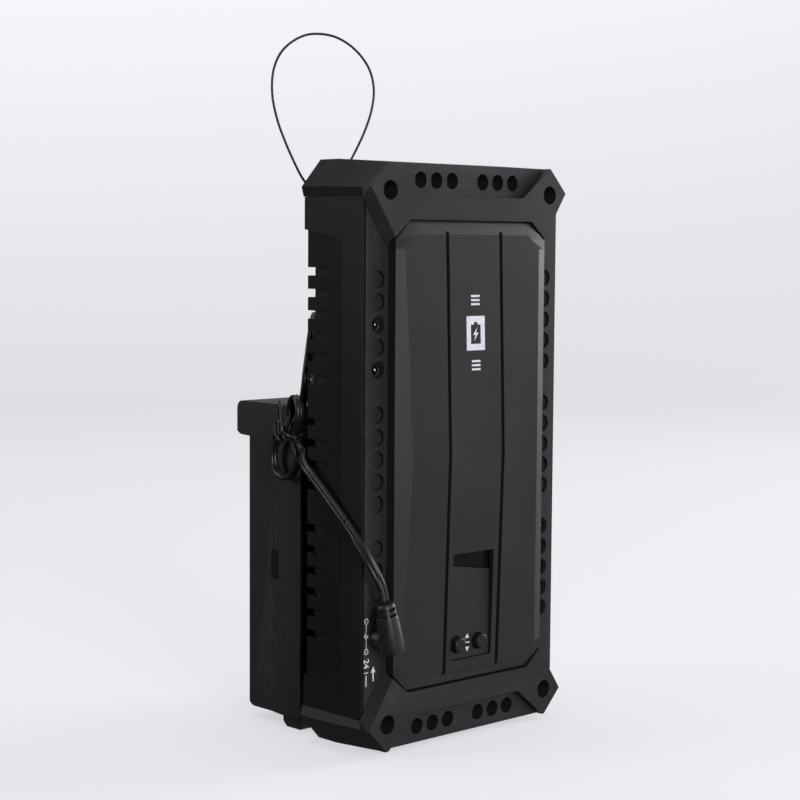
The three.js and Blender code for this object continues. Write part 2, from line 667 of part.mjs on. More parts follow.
function packRearCase() {
  const tub = prismZ(roundedPlan(PACK_REAR_HALF_WIDTH, [PACK_SPLIT + GAP, PACK_REAR], PACK_CORNER),
    [PACK_BOTTOM, PACK_TOP - 6]);
  const roundedFoot = prismX([
    [PACK_SPLIT, PACK_BOTTOM - 1], [PACK_SPLIT, PACK_TOP],
    [PACK_REAR + 1, PACK_TOP], ...arc([PACK_REAR - 5, PACK_BOTTOM + 5], 5, 0, -90, 4),
  ].reverse(), [-PACK_HALF_WIDTH, PACK_HALF_WIDTH]);
  const cheeks = cut(
    prismX(lipOutline, [-PACK_HALF_WIDTH, PACK_HALF_WIDTH]),
    box([-PACK_HALF_WIDTH - 1, -PACK_HALF_WIDTH + 1], [PACK_SPLIT, PACK_REAR_START + 0.1], [0, 148]),
    box([PACK_HALF_WIDTH - 1, PACK_HALF_WIDTH + 1], [PACK_SPLIT, PACK_REAR_START + 0.1], [0, 148]),
  );
  const hollow = box(
    [-PACK_REAR_HALF_WIDTH + PACK_WALL, PACK_REAR_HALF_WIDTH - PACK_WALL],
    [PACK_SPLIT - 1, PACK_REAR - PACK_WALL], [PACK_BOTTOM + PACK_WALL, PACK_TOP - PACK_WALL]);
  return cut(
    join(tub.intersect(roundedFoot), cheeks),
    hollow,
    prismX(latchWindow, [-PACK_HALF_WIDTH - 1, PACK_HALF_WIDTH + 1]),
  );
}
addPiece('pack_rear_case', packRearCase(), materials.packCase);

// sprung release catches, pressed in from both sides
function releaseCatch() {
  return join(
    box([-54.6, -51.6], [PACK_SPLIT + 0.9, 83.1], [LATCH_LOW + GAP, LATCH_HIGH - GAP]),
    box([-51.7, -50.2], [PACK_SPLIT + 0.9, 86], [LATCH_LOW - 3, LATCH_HIGH + 3]),
  );
}
addPiece('left_release_catch', releaseCatch(), materials.shell);
addPiece('right_release_catch', mirroredX(releaseCatch()), materials.shell);

const CELL_RADIUS = 10.6;
const CELL_LENGTH = 70;
const cellPlaces = [[-34.5, 11], [-11.5, 11], [11.5, 11], [34.5, 11], [-34.5, 84], [-11.5, 84], [11.5, 84]];
cellPlaces.forEach(([x, z], i) => {
  addPiece(`cell_${i + 1}`, cylinderZ(x, 82, [CELL_RADIUS, CELL_RADIUS], [z, z + CELL_LENGTH], 14),
    materials.cell);
});
addPiece('pack_circuit_board', box([-44, 44], [64, 65.6], [20, 150]), materials.circuitBoard);

// ---------------------------------------------------------------- power lead
const GLAND = { x: -25, y: 82, top: 180 };
addPiece('lead_gland', cylinderZ(GLAND.x, GLAND.y, [5.4, 3.4], [PACK_TOP + GAP, GLAND.top]), materials.lead);

const upperLeadRoute = [
  [-25, 82, 180.4], [-25.2, 81.6, 188], [-27, 79.5, 197], [-31.5, 74.5, 205.5], [-38, 67.5, 209.5],
  [-45, 60.5, 208.5], [-51.5, 54.8, 202], [-56.3, 51.4, 192], [-58.9, 50.4, 182], [-59.4, 51.2, 173.6],
];
addPiece('lead_upper', cable(upperLeadRoute, LEAD_DIAMETER, 8, 24), materials.lead);

// the spare lead: an upper and a lower loop, pinched together by the tie
const HANK_X = -60.7;
const UPPER_LOOP = { y: 57, z: 162, halfWidth: 7, halfHeight: 8.8, depth: 8 };
const LOWER_LOOP = { y: 64.9, z: 138.8, halfWidth: 10.7, halfHeight: 11.6, depth: 5.2 };
const NECK = { y: 60.4, z: 151.4, tilt: 19, halfWidth: 4.2, halfLength: 6, depth: 5.2 };

function loopSolid({ y, z, halfWidth, halfHeight, depth }) {
  const outline = arc([0, 0], 1, 0, 345, 23)
    .map(([u, v]) => [y + halfWidth * u, z + halfHeight * v]);
  return prismX(outline, [HANK_X - depth / 2, HANK_X + Math.min(depth / 2, 3)]);
}

function neckBar(halfWidth, halfLength, [x0, x1]) {
  return box([x0, x1], [-halfWidth, halfWidth], [-halfLength, halfLength])
    .rotate([NECK.tilt, 0, 0])
    .translate([0, NECK.y, NECK.z]);
}

const neckSpan = [HANK_X - NECK.depth / 2, HANK_X + NECK.depth / 2];
addPiece('lead_hank', join(
  loopSolid(UPPER_LOOP),
  loopSolid(LOWER_LOOP),
  neckBar(NECK.halfWidth, NECK.halfLength, neckSpan),
), materials.lead);

const TIE = { halfHeight: 0.9, thickness: 1.3 };
const tieHole = [neckSpan[0] - GAP, neckSpan[1] + GAP];
addPiece('lead_tie', cut(
  neckBar(NECK.halfWidth + GAP + TIE.thickness, TIE.halfHeight,
    [tieHole[0] - TIE.thickness, tieHole[1] + TIE.thickness]),
  neckBar(NECK.halfWidth + GAP, TIE.halfHeight + 1, tieHole),
), materials.lead);

const sideLeadRoute = [
  [-61.4, 50.6, 142.9], [-64.2, 47.8, 141.5], [-66.9, 44.4, 139.6], [-68.5, 40.6, 137.3],
  [-69, 36.4, 134.6], [-69, 30, 129.6], [-69, 22, 123.2], [-69, 14.6, 117.2], [-69, 10, 113.4],
];
addPiece('lead_side', cable(sideLeadRoute, LEAD_DIAMETER, 8, 20), materials.lead);

const lowerLeadRoute = [
  [-69, 9.6, 113.1], [-69.2, 4, 108.2], [-69.5, -1.6, 102.8], [-69, -6.4, 96.8], [-67.3, -9.4, 91],
  [-65, -10.4, 86], [-63.2, -10.5, 81.6], [-62.2, -10.5, 77.4],
];
addPiece('lead_lower', cable(lowerLeadRoute, LEAD_DIAMETER, 8, 16), materials.lead);

// right-angle plug: its body leans away from the panel, about the barrel's axis
const PLUG = { x: -COLUMN_X, y: -10.5, z: holeZ(16), lean: -12 };
const PLUG_TOP = 19.4;

function powerPlug() {
  const sleeve = cylinderZ(0, 0, [5.8, 5.7], [-5.6, 3]);
  const body = cylinderZ(0, 0, [5.7, 4.9], [3, 12]);
  const relief = cylinderZ(0, 0, [4.7, 4.3], [12, PLUG_TOP]);
  const standing = join(sleeve, body, relief).rotate([0, PLUG.lean, 0]);
  const neck = cylinderY(0, 0, 5.1, [0, -PLUG.y - GAP], 16);
  const barrel = turned([
    [1.2, 10], [2.75, 10], [2.75, 18.8], [1.2, 18.8], [1.2, 10],
  ], 0, 0, 12);
  return join(standing, neck, barrel).translate([PLUG.x, PLUG.y, PLUG.z]);
}
addPiece('power_plug', powerPlug(), materials.lead);

// ---------------------------------------------------------------- hanging wire
const EYE = { x: -51, y: 48.2, z: 250 };

function eyelet() {
  const base = cylinderY(EYE.x, EYE.z, 4, [BODY_DEPTH + GAP, 45], 14);
  const ring = new THREE.TorusGeometry(3.2, 1.1, 8, 16);
  ring.rotateY(Math.PI / 2);
  ring.translate(EYE.x, EYE.y, EYE.z);
  return join(base, toSolid(ring));
}
addPiece('wire_eyelet', eyelet(), materials.darkScrew);

const FERRULE = { low: 257, high: 265.4, spacing: 2.2 };
const ferrule = cut(
  box([EYE.x - 3.8, EYE.x + 3.8], [EYE.y - 1.8, EYE.y + 1.8], [FERRULE.low, FERRULE.high]),
  cylinderZ(EYE.x - FERRULE.spacing, EYE.y, [0.9, 0.9], [FERRULE.low - 1, FERRULE.high + 1], 8),
  cylinderZ(EYE.x + FERRULE.spacing, EYE.y, [0.9, 0.9], [FERRULE.low - 1, FERRULE.high + 1], 8),
);
addPiece('wire_ferrule', ferrule, materials.aluminium);

// [x, z] of the wire, from one end inside the ferrule, round the loop and back through the eye
const wireRoute = [
  [-53.2, 261.5], [-53.2, 266.5], [-56.5, 270.5], [-63.6, 276.5], [-69.5, 285], [-75.6, 295.5],
  [-80, 305], [-82.8, 316], [-82.2, 327], [-78, 335.5], [-71, 341.5], [-62, 345.6], [-52.5, 346.9],
  [-43, 346.2], [-34, 343.2], [-25.8, 338], [-19.8, 331], [-17.3, 322], [-18.8, 312], [-23, 302],
  [-28.3, 293], [-33.8, 285], [-41, 276], [-47, 269.5], [-48.8, 264], [-48.8, 256.5], [-49.2, 252.6],
  [-51, 250.2], [-52.8, 252.6], [-53.2, 256.5], [-53.2, 260.5],
].map(([x, z]) => [x, EYE.y, z]);
addPiece('hanging_wire', cable(wireRoute, WIRE_DIAMETER, 6, 76), materials.blackWire);

export default model;
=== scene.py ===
"""The looks of the portable battery power box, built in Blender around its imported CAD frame."""

from math import acos, atan2, cos, degrees, hypot, pi, radians, sin, sqrt

import bmesh
import bpy
from mathutils import Matrix, Vector


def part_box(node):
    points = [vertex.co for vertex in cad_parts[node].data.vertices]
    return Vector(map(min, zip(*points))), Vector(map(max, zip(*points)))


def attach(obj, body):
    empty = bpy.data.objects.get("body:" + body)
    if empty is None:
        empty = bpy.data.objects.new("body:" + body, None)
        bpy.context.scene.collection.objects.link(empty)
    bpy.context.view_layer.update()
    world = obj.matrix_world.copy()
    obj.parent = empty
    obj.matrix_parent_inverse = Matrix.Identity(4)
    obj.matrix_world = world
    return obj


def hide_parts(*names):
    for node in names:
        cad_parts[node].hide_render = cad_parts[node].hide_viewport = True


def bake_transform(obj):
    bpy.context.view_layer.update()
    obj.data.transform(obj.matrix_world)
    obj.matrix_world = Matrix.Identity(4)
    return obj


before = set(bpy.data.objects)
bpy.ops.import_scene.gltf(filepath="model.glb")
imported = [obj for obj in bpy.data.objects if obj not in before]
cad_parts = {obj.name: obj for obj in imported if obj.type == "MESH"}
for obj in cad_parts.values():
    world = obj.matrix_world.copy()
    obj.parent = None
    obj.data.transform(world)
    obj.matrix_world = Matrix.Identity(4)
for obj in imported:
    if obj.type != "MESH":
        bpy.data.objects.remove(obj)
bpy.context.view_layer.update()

# ------------------------------------------------------------------ driving dimensions
# Shapes are written in millimetres in the box's own frame: x across, y back from the face of
# the socket strips, z up from the floor. STRIP_Y and MM carry them into the row frame.
MM = 0.001
COVER_THICKNESS = 3
STRIP_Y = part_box("front_cover")[1].y - COVER_THICKNESS * MM

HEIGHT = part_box("top_bumper")[1].z / MM
MID = HEIGHT / 2
BODY_HALF_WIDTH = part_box("rear_shell")[1].x / MM
BODY_DEPTH = 43
GAP = 0.3

SEAM = 125                     # half-height where the bumpers meet the body
RIDGE_HALF_WIDTH = 68.5
RIDGE_HEIGHT = 129.5
END_HALF_WIDTH = 56.5
ARMOUR_RISE = 5.5
ARMOUR_SLOPE = 3.6
POCKET_RISE = 1.3
PANEL_GAP = 1.0

PANEL_HALF_WIDTH = 51.7
PANEL_HALF_HEIGHT = 113
PANEL_CORNER_Z = 104.3
PANEL_CORNER_X = 41.6
CROWN_RISE = 9.8
CROWN_SLOPE = 0.0317
END_RIM_Y = -4.2               # the panel's rim is lower at its two ends
FACE_END_RIM_Y = -5.2
PANEL_FACE_TAPER = 100         # the face begins to narrow at this half-height
PANEL_FACE_END = 107           # and slopes down to the rim beyond this one
PANEL_WALL = 3
GROOVE_X = 18.5
GROOVE_WIDTH = 2.3
GROOVE_DEPTH = 2.2
GROOVE_END = 108.5             # half-height at which the grooves stop

COLUMN_X = 57.8
HOLE_PITCH = 10.7
HOLE_RADIUS = 4.2
HOLE_DEPTH = 2
BLANK_PLACES = (5, 11)
OPEN_LEFT = {2: "channel_socket_1", 4: "channel_socket_2", 16: "input_socket"}
OPEN_RIGHT = {place: f"output_socket_{place - 11}" for place in range(12, 17)}

OPENING_HALF_WIDTH = 14.2
OPENING_LOW = MID - 102.7
OPENING_HIGH = MID - 49.3
BUTTON_Z = MID - 95
BUTTON_X = {"address_down": -8.8, "address_up": 6.4}
BUTTON_RADIUS = 3.65

SCREW_X = 55.2
SCREW_Z = 127.5

LEAD_WIDTH = 4.8
LEAD_THICKNESS = 2.7
WIRE_DIAMETER = 1.2

CAMERA_LENS = 83.66            # millimetres, on a 36 mm sensor
CAMERA_YAW = radians(43.22)
CAMERA_PITCH = radians(-4.72)
CAMERA_ROLL = radians(0.38)
CAMERA_PLACE = (-650.9, -646.65, 244.1)


def hole_z(place):
    return MID + (8 - place) * HOLE_PITCH


def row(point):
    """A point in box millimetres, in the row frame in metres."""
    return Vector((point[0] * MM, point[1] * MM + STRIP_Y, point[2] * MM))


# ------------------------------------------------------------------ camera
def add_camera():
    data = bpy.data.cameras.new("camera")
    data.lens = CAMERA_LENS
    data.sensor_width = 36
    data.clip_end = 20
    camera = bpy.data.objects.new("camera", data)
    turn = (Matrix.Rotation(-CAMERA_YAW, 4, "Z")
            @ Matrix.Rotation(pi / 2 + CAMERA_PITCH, 4, "X")
            @ Matrix.Rotation(CAMERA_ROLL, 4, "Z"))
    camera.matrix_world = Matrix.Translation(row(CAMERA_PLACE)) @ turn
    bpy.context.scene.collection.objects.link(camera)
    bpy.context.scene.camera = camera


# ------------------------------------------------------------------ mesh tools
def mesh_object(name, vertices, faces):
    """A mesh from box millimetres, with all its faces turned outwards."""
    mesh = bpy.data.meshes.new(name)
    mesh.from_pydata([row(v) for v in vertices], [], faces)
    shape = bmesh.new()
    shape.from_mesh(mesh)
    bmesh.ops.remove_doubles(shape, verts=shape.verts, dist=1e-7)
    bmesh.ops.recalc_face_normals(shape, faces=shape.faces)
    shape.to_mesh(mesh)
    shape.free()
    obj = bpy.data.objects.new(name, mesh)
    bpy.context.scene.collection.objects.link(obj)
    return obj


def loft(name, rings, closed_ends=True):
    """Skins a stack of rings that have the same number of points."""
    count = len(rings[0])
    faces = []
    for level in range(len(rings) - 1):
        for i in range(count):
            a = level * count + i
            b = level * count + (i + 1) % count
            faces.append((a, b, b + count, a + count))
    if closed_ends:
        last = (len(rings) - 1) * count
        faces.append(tuple(range(count)))
        faces.append(tuple(range(last, last + count)))
    return mesh_object(name, [p for ring in rings for p in ring], faces)


def box(name, x, y, z):
    ring = [(x[0], y[0]), (x[1], y[0]), (x[1], y[1]), (x[0], y[1])]
    return loft(name, [[(px, py, level) for px, py in ring] for level in z])


def prism_y(name, outline, y):
    """An outline of (x, z) points, from y[0] back to y[1]."""
    return loft(name, [[(x, depth, z) for x, z in outline] for depth in y])


def circle(radius, sides, centre=(0, 0)):
    return [(centre[0] + radius * cos(2 * pi * i / sides), centre[1] + radius * sin(2 * pi * i / sides))
            for i in range(sides)]


def cylinder_y(name, x, z, radius, y, sides=40):
    return prism_y(name, circle(radius, sides, (x, z)), y)


def turned_y(name, profile, x, z, sides=40):
    """Turns a profile of (radius, y) points about the Y axis; end points may be on the axis."""
    vertices = []
    rings = []
    for radius, y in profile:
        if radius == 0:
            rings.append([len(vertices)])
            vertices.append((x, y, z))
        else:
            rings.append(list(range(len(vertices), len(vertices) + sides)))
            vertices += [(x + px, y, z + pz) for px, pz in circle(radius, sides)]
    faces = []
    for low, high in zip(rings, rings[1:]):
        for i in range(sides):
            j = (i + 1) % sides
            corners = [low[i % len(low)], low[j % len(low)], high[j % len(high)], high[i % len(high)]]
            faces.append(tuple(dict.fromkeys(corners)))
    return mesh_object(name, vertices, faces)


def offset_outline(outline, distance):
    """Moves every side of a counter-clockwise outline outwards."""
    moved = []
    for i, point in enumerate(outline):
        before = side_normal(outline[i - 1], point)
        after = side_normal(point, outline[(i + 1) % len(outline)])
        reach = distance / (1 + before[0] * after[0] + before[1] * after[1])
        moved.append((point[0] + (before[0] + after[0]) * reach, point[1] + (before[1] + after[1]) * reach))
    return moved


def side_normal(a, b):
    length = hypot(b[0] - a[0], b[1] - a[1])
    return (b[1] - a[1]) / length, (a[0] - b[0]) / length


def arc(centre, radius, start, end, steps):
    angles = [radians(start + (end - start) * i / steps) for i in range(steps + 1)]
    return [(centre[0] + radius * cos(a), centre[1] + radius * sin(a)) for a in angles]


def bake_modifiers(obj):
    evaluated = obj.evaluated_get(bpy.context.evaluated_depsgraph_get())
    mesh = bpy.data.meshes.new_from_object(evaluated)
    obj.modifiers.clear()
    obj.data = mesh


def remove(obj):
    mesh = obj.data
    bpy.data.objects.remove(obj)
    bpy.data.meshes.remove(mesh)


def boolean(obj, tools, operation="DIFFERENCE"):
    for tool in tools:
        step = obj.modifiers.new("boolean", "BOOLEAN")
        step.operation = operation
        step.solver = "MANIFOLD"
        step.object = tool
    bake_modifiers(obj)
    for tool in tools:
        remove(tool)
    return obj


def joined(objects, name):
    """One object that holds several separate solids."""
    shape = bmesh.new()
    for obj in objects:
        shape.from_mesh(obj.data)
        remove(obj)
    mesh = bpy.data.meshes.new(name)
    shape.to_mesh(mesh)
    shape.free()
    result = bpy.data.objects.new(name, mesh)
    bpy.context.scene.collection.objects.link(result)
    return result


def copy_of(node, name):
    """A new object with a CAD node's shape, its flat faces whole again."""
    shape = bmesh.new()
    shape.from_mesh(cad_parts[node].data)
    bmesh.ops.remove_doubles(shape, verts=shape.verts, dist=1e-6)
    bmesh.ops.dissolve_limit(shape, angle_limit=radians(1), verts=shape.verts, edges=shape.edges)
    mesh = bpy.data.meshes.new(name)
    shape.to_mesh(mesh)
    shape.free()
    obj = bpy.data.objects.new(name, mesh)
    bpy.context.scene.collection.objects.link(obj)
    return obj


FLAT_WITHIN = 0.6              # degrees


def merge_flat_faces(obj):
    """Makes each flat face one polygon again, so that a bevel follows the real edges only."""
    shape = bmesh.new()
    shape.from_mesh(obj.data)
    bmesh.ops.remove_doubles(shape, verts=shape.verts, dist=1e-6)
    bmesh.ops.dissolve_limit(shape, angle_limit=radians(FLAT_WITHIN), verts=shape.verts, edges=shape.edges)
    shape.to_mesh(obj.data)
    shape.free()


def round_edges(obj, width, segments=2, sharper_than=28):
    """Rounds the sharp edges and keeps the flat faces flat in the shading."""
    if width:
        merge_flat_faces(obj)
        bevel = obj.modifiers.new("rounded_edges", "BEVEL")
        bevel.width = width * MM
        bevel.segments = segments
        bevel.limit_method = "ANGLE"
        bevel.angle_limit = radians(sharper_than)
        bake_modifiers(obj)
    obj.data.shade_smooth()
    obj.data.set_sharp_from_angle(angle=radians(40))
    weighted = obj.modifiers.new("flat_faces", "WEIGHTED_NORMAL")
    weighted.keep_sharp = True
    bake_modifiers(obj)
    return obj


def smooth(obj, sharper_than=40):
    obj.data.shade_smooth()
    obj.data.set_sharp_from_angle(angle=radians(sharper_than))
    return obj


def finish_piece(obj, body, material, nodes=()):
    """Gives a piece its material, its body and the CAD nodes that it stands for."""
    obj.data.materials.clear()
    obj.data.materials.append(material)
    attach(obj, body)
    if nodes:
        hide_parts(*nodes)
    return obj


# ------------------------------------------------------------------ materials
class Recipe:
    """A short way to write a node material around one Principled shader."""

    def __init__(self, name):
        self.material = bpy.data.materials.new(name)
        self.material.use_nodes = True
        self.tree = self.material.node_tree
        self.shader = self.tree.nodes["Principled BSDF"]
        self.place = self.node("ShaderNodeTexCoord").outputs["Object"]

    def node(self, kind, **settings):
        made = self.tree.nodes.new(kind)
        for key, value in settings.items():
            setattr(made, key, value)
        return made

    def link(self, source, target):
        self.tree.links.new(source, target)

    def noise(self, size_mm, detail=2.0, roughness=0.5):
        """Noise whose lumps are about size_mm across, from 0 to 1."""
        made = self.node("ShaderNodeTexNoise")
        made.inputs["Scale"].default_value = 1 / (size_mm * MM)
        made.inputs["Detail"].default_value = detail
        made.inputs["Roughness"].default_value = roughness
        self.link(self.place, made.inputs["Vector"])
        return made.outputs["Fac"]

    def ramp(self, source, low, high, to_low=0.0, to_high=1.0):
        made = self.node("ShaderNodeMapRange")
        made.inputs["From Min"].default_value = low
        made.inputs["From Max"].default_value = high
        made.inputs["To Min"].default_value = to_low
        made.inputs["To Max"].default_value = to_high
        self.link(source, made.inputs["Value"])
        return made.outputs["Result"]

    def math(self, operation, a, b):
        made = self.node("ShaderNodeMath", operation=operation)
        for socket, value in zip(made.inputs, (a, b)):
            if isinstance(value, (int, float)):
                socket.default_value = value
            else:
                self.link(value, socket)
        return made.outputs["Value"]

    def mix(self, factor, a, b):
        made = self.node("ShaderNodeMix", data_type="RGBA")
        if isinstance(factor, (int, float)):
            made.inputs["Factor"].default_value = factor
        else:
            self.link(factor, made.inputs["Factor"])
        for socket, value in ((made.inputs["A"], a), (made.inputs["B"], b)):
            if isinstance(value, tuple):
                socket.default_value = (*value, 1)
            else:
                self.link(value, socket)
        return made.outputs["Result"]

    def bump(self, *layers):
        """Each layer is (height, depth in millimetres)."""
        previous = None
        for height, depth in layers:
            made = self.node("ShaderNodeBump")
            made.inputs["Strength"].default_value = 1
            made.inputs["Distance"].default_value = depth * MM
            self.link(height, made.inputs["Height"])
            if previous:
                self.link(previous, made.inputs["Normal"])
            previous = made.outputs["Normal"]
        self.link(previous, self.shader.inputs["Normal"])

    def edges(self, low=0.53, high=0.62):
        """1 on convex edges, where handling polishes and pales the surface; the paling there is also a
        painted edge highlight.
        """
        pointiness = self.node("ShaderNodeNewGeometry").outputs["Pointiness"]
        return self.ramp(pointiness, low, high)

    def color(self, source):
        self.link(source, self.shader.inputs["Base Color"])

    def roughness(self, source):
        self.link(source, self.shader.inputs["Roughness"])

    def constant(self, **values):
        for key, value in values.items():
            self.shader.inputs[key.replace("_", " ")].default_value = value


def grey(value):
    """A dark or pale grey, very slightly blue as moulded black plastics are."""
    return value, value * 0.985, value * 1.11


def moulded_plastic(name, tone, rough, grain_mm, grain_depth, gloss=0.3):
    """Black injection-moulded plastic with a fine spark-eroded grain and slightly rubbed edges, whose paler
    colour is partly wear and partly a painted highlight.
    """
    recipe = Recipe(name)
    cloudy = recipe.noise(38, 3)
    mottle = recipe.noise(2.2, 2)
    base = recipe.mix(cloudy, grey(tone * 0.86), grey(tone * 1.14))
    # pale convex edges: partly rubbed wear, partly a painted highlight on the edges
    edge_wear_and_highlight = recipe.math("MULTIPLY", recipe.edges(), recipe.ramp(recipe.noise(6, 3), 0.35, 0.7, 0.15, 0.5))
    recipe.color(recipe.mix(edge_wear_and_highlight, base, grey(tone * 2.4)))
    even = recipe.ramp(mottle, 0.3, 0.7, rough - 0.035, rough + 0.035)
    handled = recipe.ramp(recipe.noise(55, 2), 0.4, 0.7, 0.0, -0.05)
    recipe.roughness(recipe.math("ADD", even, handled))
    recipe.bump((recipe.noise(grain_mm, 2, 0.6), grain_depth), (recipe.noise(26, 1), 0.05))
    recipe.constant(IOR=1.5, Specular_IOR_Level=gloss)
    return recipe.material


def soft_jacket(name, tone, rough):
    """Soft black PVC: smoother than the mouldings, with faint drawing marks and dust."""
    recipe = Recipe(name)
    dust = recipe.ramp(recipe.noise(1.6, 4), 0.62, 0.8, 0.0, 0.35)
    recipe.color(recipe.mix(dust, grey(tone), grey(tone * 3)))
    recipe.roughness(recipe.ramp(recipe.noise(3.5, 3), 0.3, 0.7, rough - 0.05, rough + 0.07))
    recipe.bump((recipe.noise(0.5, 2), 0.012), (recipe.noise(5, 2), 0.06))
    recipe.constant(IOR=1.5)
    return recipe.material


def metal(name, color, rough, grain_mm=0.5, tarnish=0.8):
    recipe = Recipe(name)
    dull = tuple(channel * tarnish for channel in color)
    recipe.color(recipe.mix(recipe.noise(1.5, 3), dull, color))
    recipe.roughness(recipe.ramp(recipe.noise(grain_mm, 3), 0.3, 0.7, rough - 0.06, rough + 0.1))
    recipe.bump((recipe.noise(grain_mm, 3), 0.008),)
    recipe.constant(Metallic=1.0)
    return recipe.material


def stranded_wire(name):
    """Thin black-coated steel rope: strands run round it in a helix under the coating."""
    recipe = Recipe(name)
    along = recipe.node("ShaderNodeUVMap", uv_map="along")
    split = recipe.node("ShaderNodeSeparateXYZ")
    recipe.link(along.outputs["UV"], split.inputs["Vector"])
    turns = recipe.math("ADD", recipe.math("MULTIPLY", split.outputs["X"], 0.35),
                        recipe.math("MULTIPLY", split.outputs["Y"], 6.0))
    strands = recipe.math("SINE", recipe.math("MULTIPLY", turns, 2 * pi), 0)
    recipe.color(recipe.mix(recipe.noise(1.2, 2), grey(0.012), grey(0.03)))
    recipe.roughness(recipe.ramp(recipe.noise(0.8, 2), 0.3, 0.7, 0.3, 0.45))
    recipe.bump((strands, 0.05))
    recipe.constant(Metallic=0.4, IOR=1.5)
    return recipe.material


def smoked_lens(name):
    recipe = Recipe(name)
    recipe.color(recipe.mix(recipe.noise(14, 2), (0.005, 0.0035, 0.0035), (0.008, 0.005, 0.005)))
    recipe.roughness(recipe.ramp(recipe.noise(2.5, 3), 0.35, 0.7, 0.10, 0.2))
    recipe.bump((recipe.noise(9, 2), 0.02))
    recipe.constant(IOR=1.49, Specular_IOR_Level=0.15)
    return recipe.material


def printed_ink(name):
    recipe = Recipe(name)
    worn = recipe.ramp(recipe.noise(0.7, 3), 0.3, 0.5)
    recipe.color(recipe.mix(worn, grey(0.5), grey(0.78)))
    recipe.roughness(recipe.ramp(recipe.noise(0.4, 2), 0.3, 0.7, 0.45, 0.6))
    recipe.bump((recipe.noise(0.3, 2), 0.01))
    return recipe.material


def circuit_board(name):
    """Green solder mask with paler copper tracks under it."""
    recipe = Recipe(name)
    tracks = recipe.node("ShaderNodeTexBrick")
    tracks.inputs["Scale"].default_value = 1 / (7 * MM)
    tracks.inputs["Mortar Size"].default_value = 0.05
    recipe.link(recipe.place, tracks.inputs["Vector"])
    line = recipe.ramp(tracks.outputs["Fac"], 0.2, 0.8)
    base = recipe.mix(recipe.noise(9, 3), (0.012, 0.06, 0.035), (0.016, 0.085, 0.045))
    recipe.color(recipe.mix(line, base, (0.03, 0.16, 0.08)))
    recipe.roughness(recipe.ramp(recipe.noise(2, 2), 0.3, 0.7, 0.3, 0.45))
    recipe.bump((line, 0.03), (recipe.noise(0.6, 2), 0.01))
    return recipe.material


def shrink_wrap(name):
    recipe = Recipe(name)
    recipe.color(recipe.mix(recipe.noise(20, 2), (0.03, 0.12, 0.2), (0.045, 0.17, 0.27)))
    recipe.roughness(recipe.ramp(recipe.noise(4, 3), 0.3, 0.7, 0.22, 0.35))
    recipe.bump((recipe.noise(3, 3), 0.05))
    return recipe.material


def studio_paper(name, tone, floor_glow, wall_glow):
    """Pale paper, lit from behind as well as from the lamps, more so up the wall."""
    recipe = Recipe(name)
    split = recipe.node("ShaderNodeSeparateXYZ")
    recipe.link(recipe.place, split.inputs["Vector"])
    glow = recipe.ramp(split.outputs["Z"], 0, 0.9, floor_glow, wall_glow)
    recipe.link(glow, recipe.shader.inputs["Emission Strength"])
    recipe.color(recipe.mix(recipe.noise(700, 2), (tone, tone, tone * 1.05), (tone * 1.02,) * 3))
    recipe.roughness(recipe.ramp(recipe.noise(300, 2), 0.3, 0.7, 0.8, 0.9))
    recipe.bump((recipe.noise(1.2, 2), 0.01))
    recipe.constant(Emission_Color=(0.955, 0.95, 1, 1))
    return recipe.material


# the shell plastic is darker than the face plastic to paint in the shade on the box's sides
SHELL_PAINTED_SHADE = moulded_plastic("shell_plastic_painted_shade", 0.009, 0.44, 0.5, 0.02, 0.2)
PANEL = moulded_plastic("panel_plastic", 0.021, 0.38, 0.45, 0.016, 0.26)
BUMPER = moulded_plastic("bumper_plastic", 0.020, 0.38, 0.5, 0.02, 0.26)
# the pack's paler tone is partly its own plastic and partly painted light in place of the rear rim lamp
PACK_PAINTED_LIGHT = moulded_plastic("pack_plastic_painted_light", 0.024, 0.38, 0.6, 0.02, 0.5)
BUTTON = moulded_plastic("button_plastic", 0.014, 0.36, 0.4, 0.01)
SOCKET = moulded_plastic("socket_plastic", 0.008, 0.5, 0.4, 0.012)
JACKET = soft_jacket("lead_jacket", 0.010, 0.36)
PLUG_PLASTIC = soft_jacket("plug_plastic", 0.013, 0.4)
LENS = smoked_lens("smoked_window")
INK = printed_ink("printed_ink")
WIRE = stranded_wire("hanging_wire_coating")
DARK_STEEL = metal("black_oxide_steel", (0.06, 0.06, 0.065), 0.34)
STEEL = metal("zinc_plated_steel", (0.6, 0.6, 0.62), 0.28)
NICKEL = metal("nickel_plating", (0.62, 0.6, 0.56), 0.2)
ALUMINIUM = metal("bare_aluminium", (0.62, 0.63, 0.65), 0.36)
BOARD = circuit_board("circuit_board")
CELL_WRAP = shrink_wrap("cell_wrap")


# ------------------------------------------------------------------ cords
def smooth_route(points, per_span=8):
    """Points along a centripetal Catmull-Rom curve through the given ones."""
    knots = [Vector(p) for p in points]
    knots = [2 * knots[0] - knots[1]] + knots + [2 * knots[-1] - knots[-2]]
    route = []
    for p0, p1, p2, p3 in zip(knots, knots[1:], knots[2:], knots[3:]):
        t1 = sqrt((p1 - p0).length)
        t2 = t1 + sqrt((p2 - p1).length)
        t3 = t2 + sqrt((p3 - p2).length)
        for i in range(per_span):
            t = t1 + (t2 - t1) * i / per_span
            a = p0.lerp(p1, t / t1)
            b = p1.lerp(p2, (t - t1) / (t2 - t1))
            c = p2.lerp(p3, (t - t2) / (t3 - t2))
            route.append(a.lerp(b, t / t2).lerp(b.lerp(c, (t - t1) / (t3 - t1)), (t - t1) / (t2 - t1)))
    route.append(knots[-2])
    return route


def spread(directions, per_span):
    """Directions at the points of a smooth route, blended evenly between the given ones."""
    blended = []
    for a, b in zip(directions, directions[1:]):
        blended += [a.lerp(b, i / per_span) for i in range(per_span)]
    return blended + [directions[-1]]


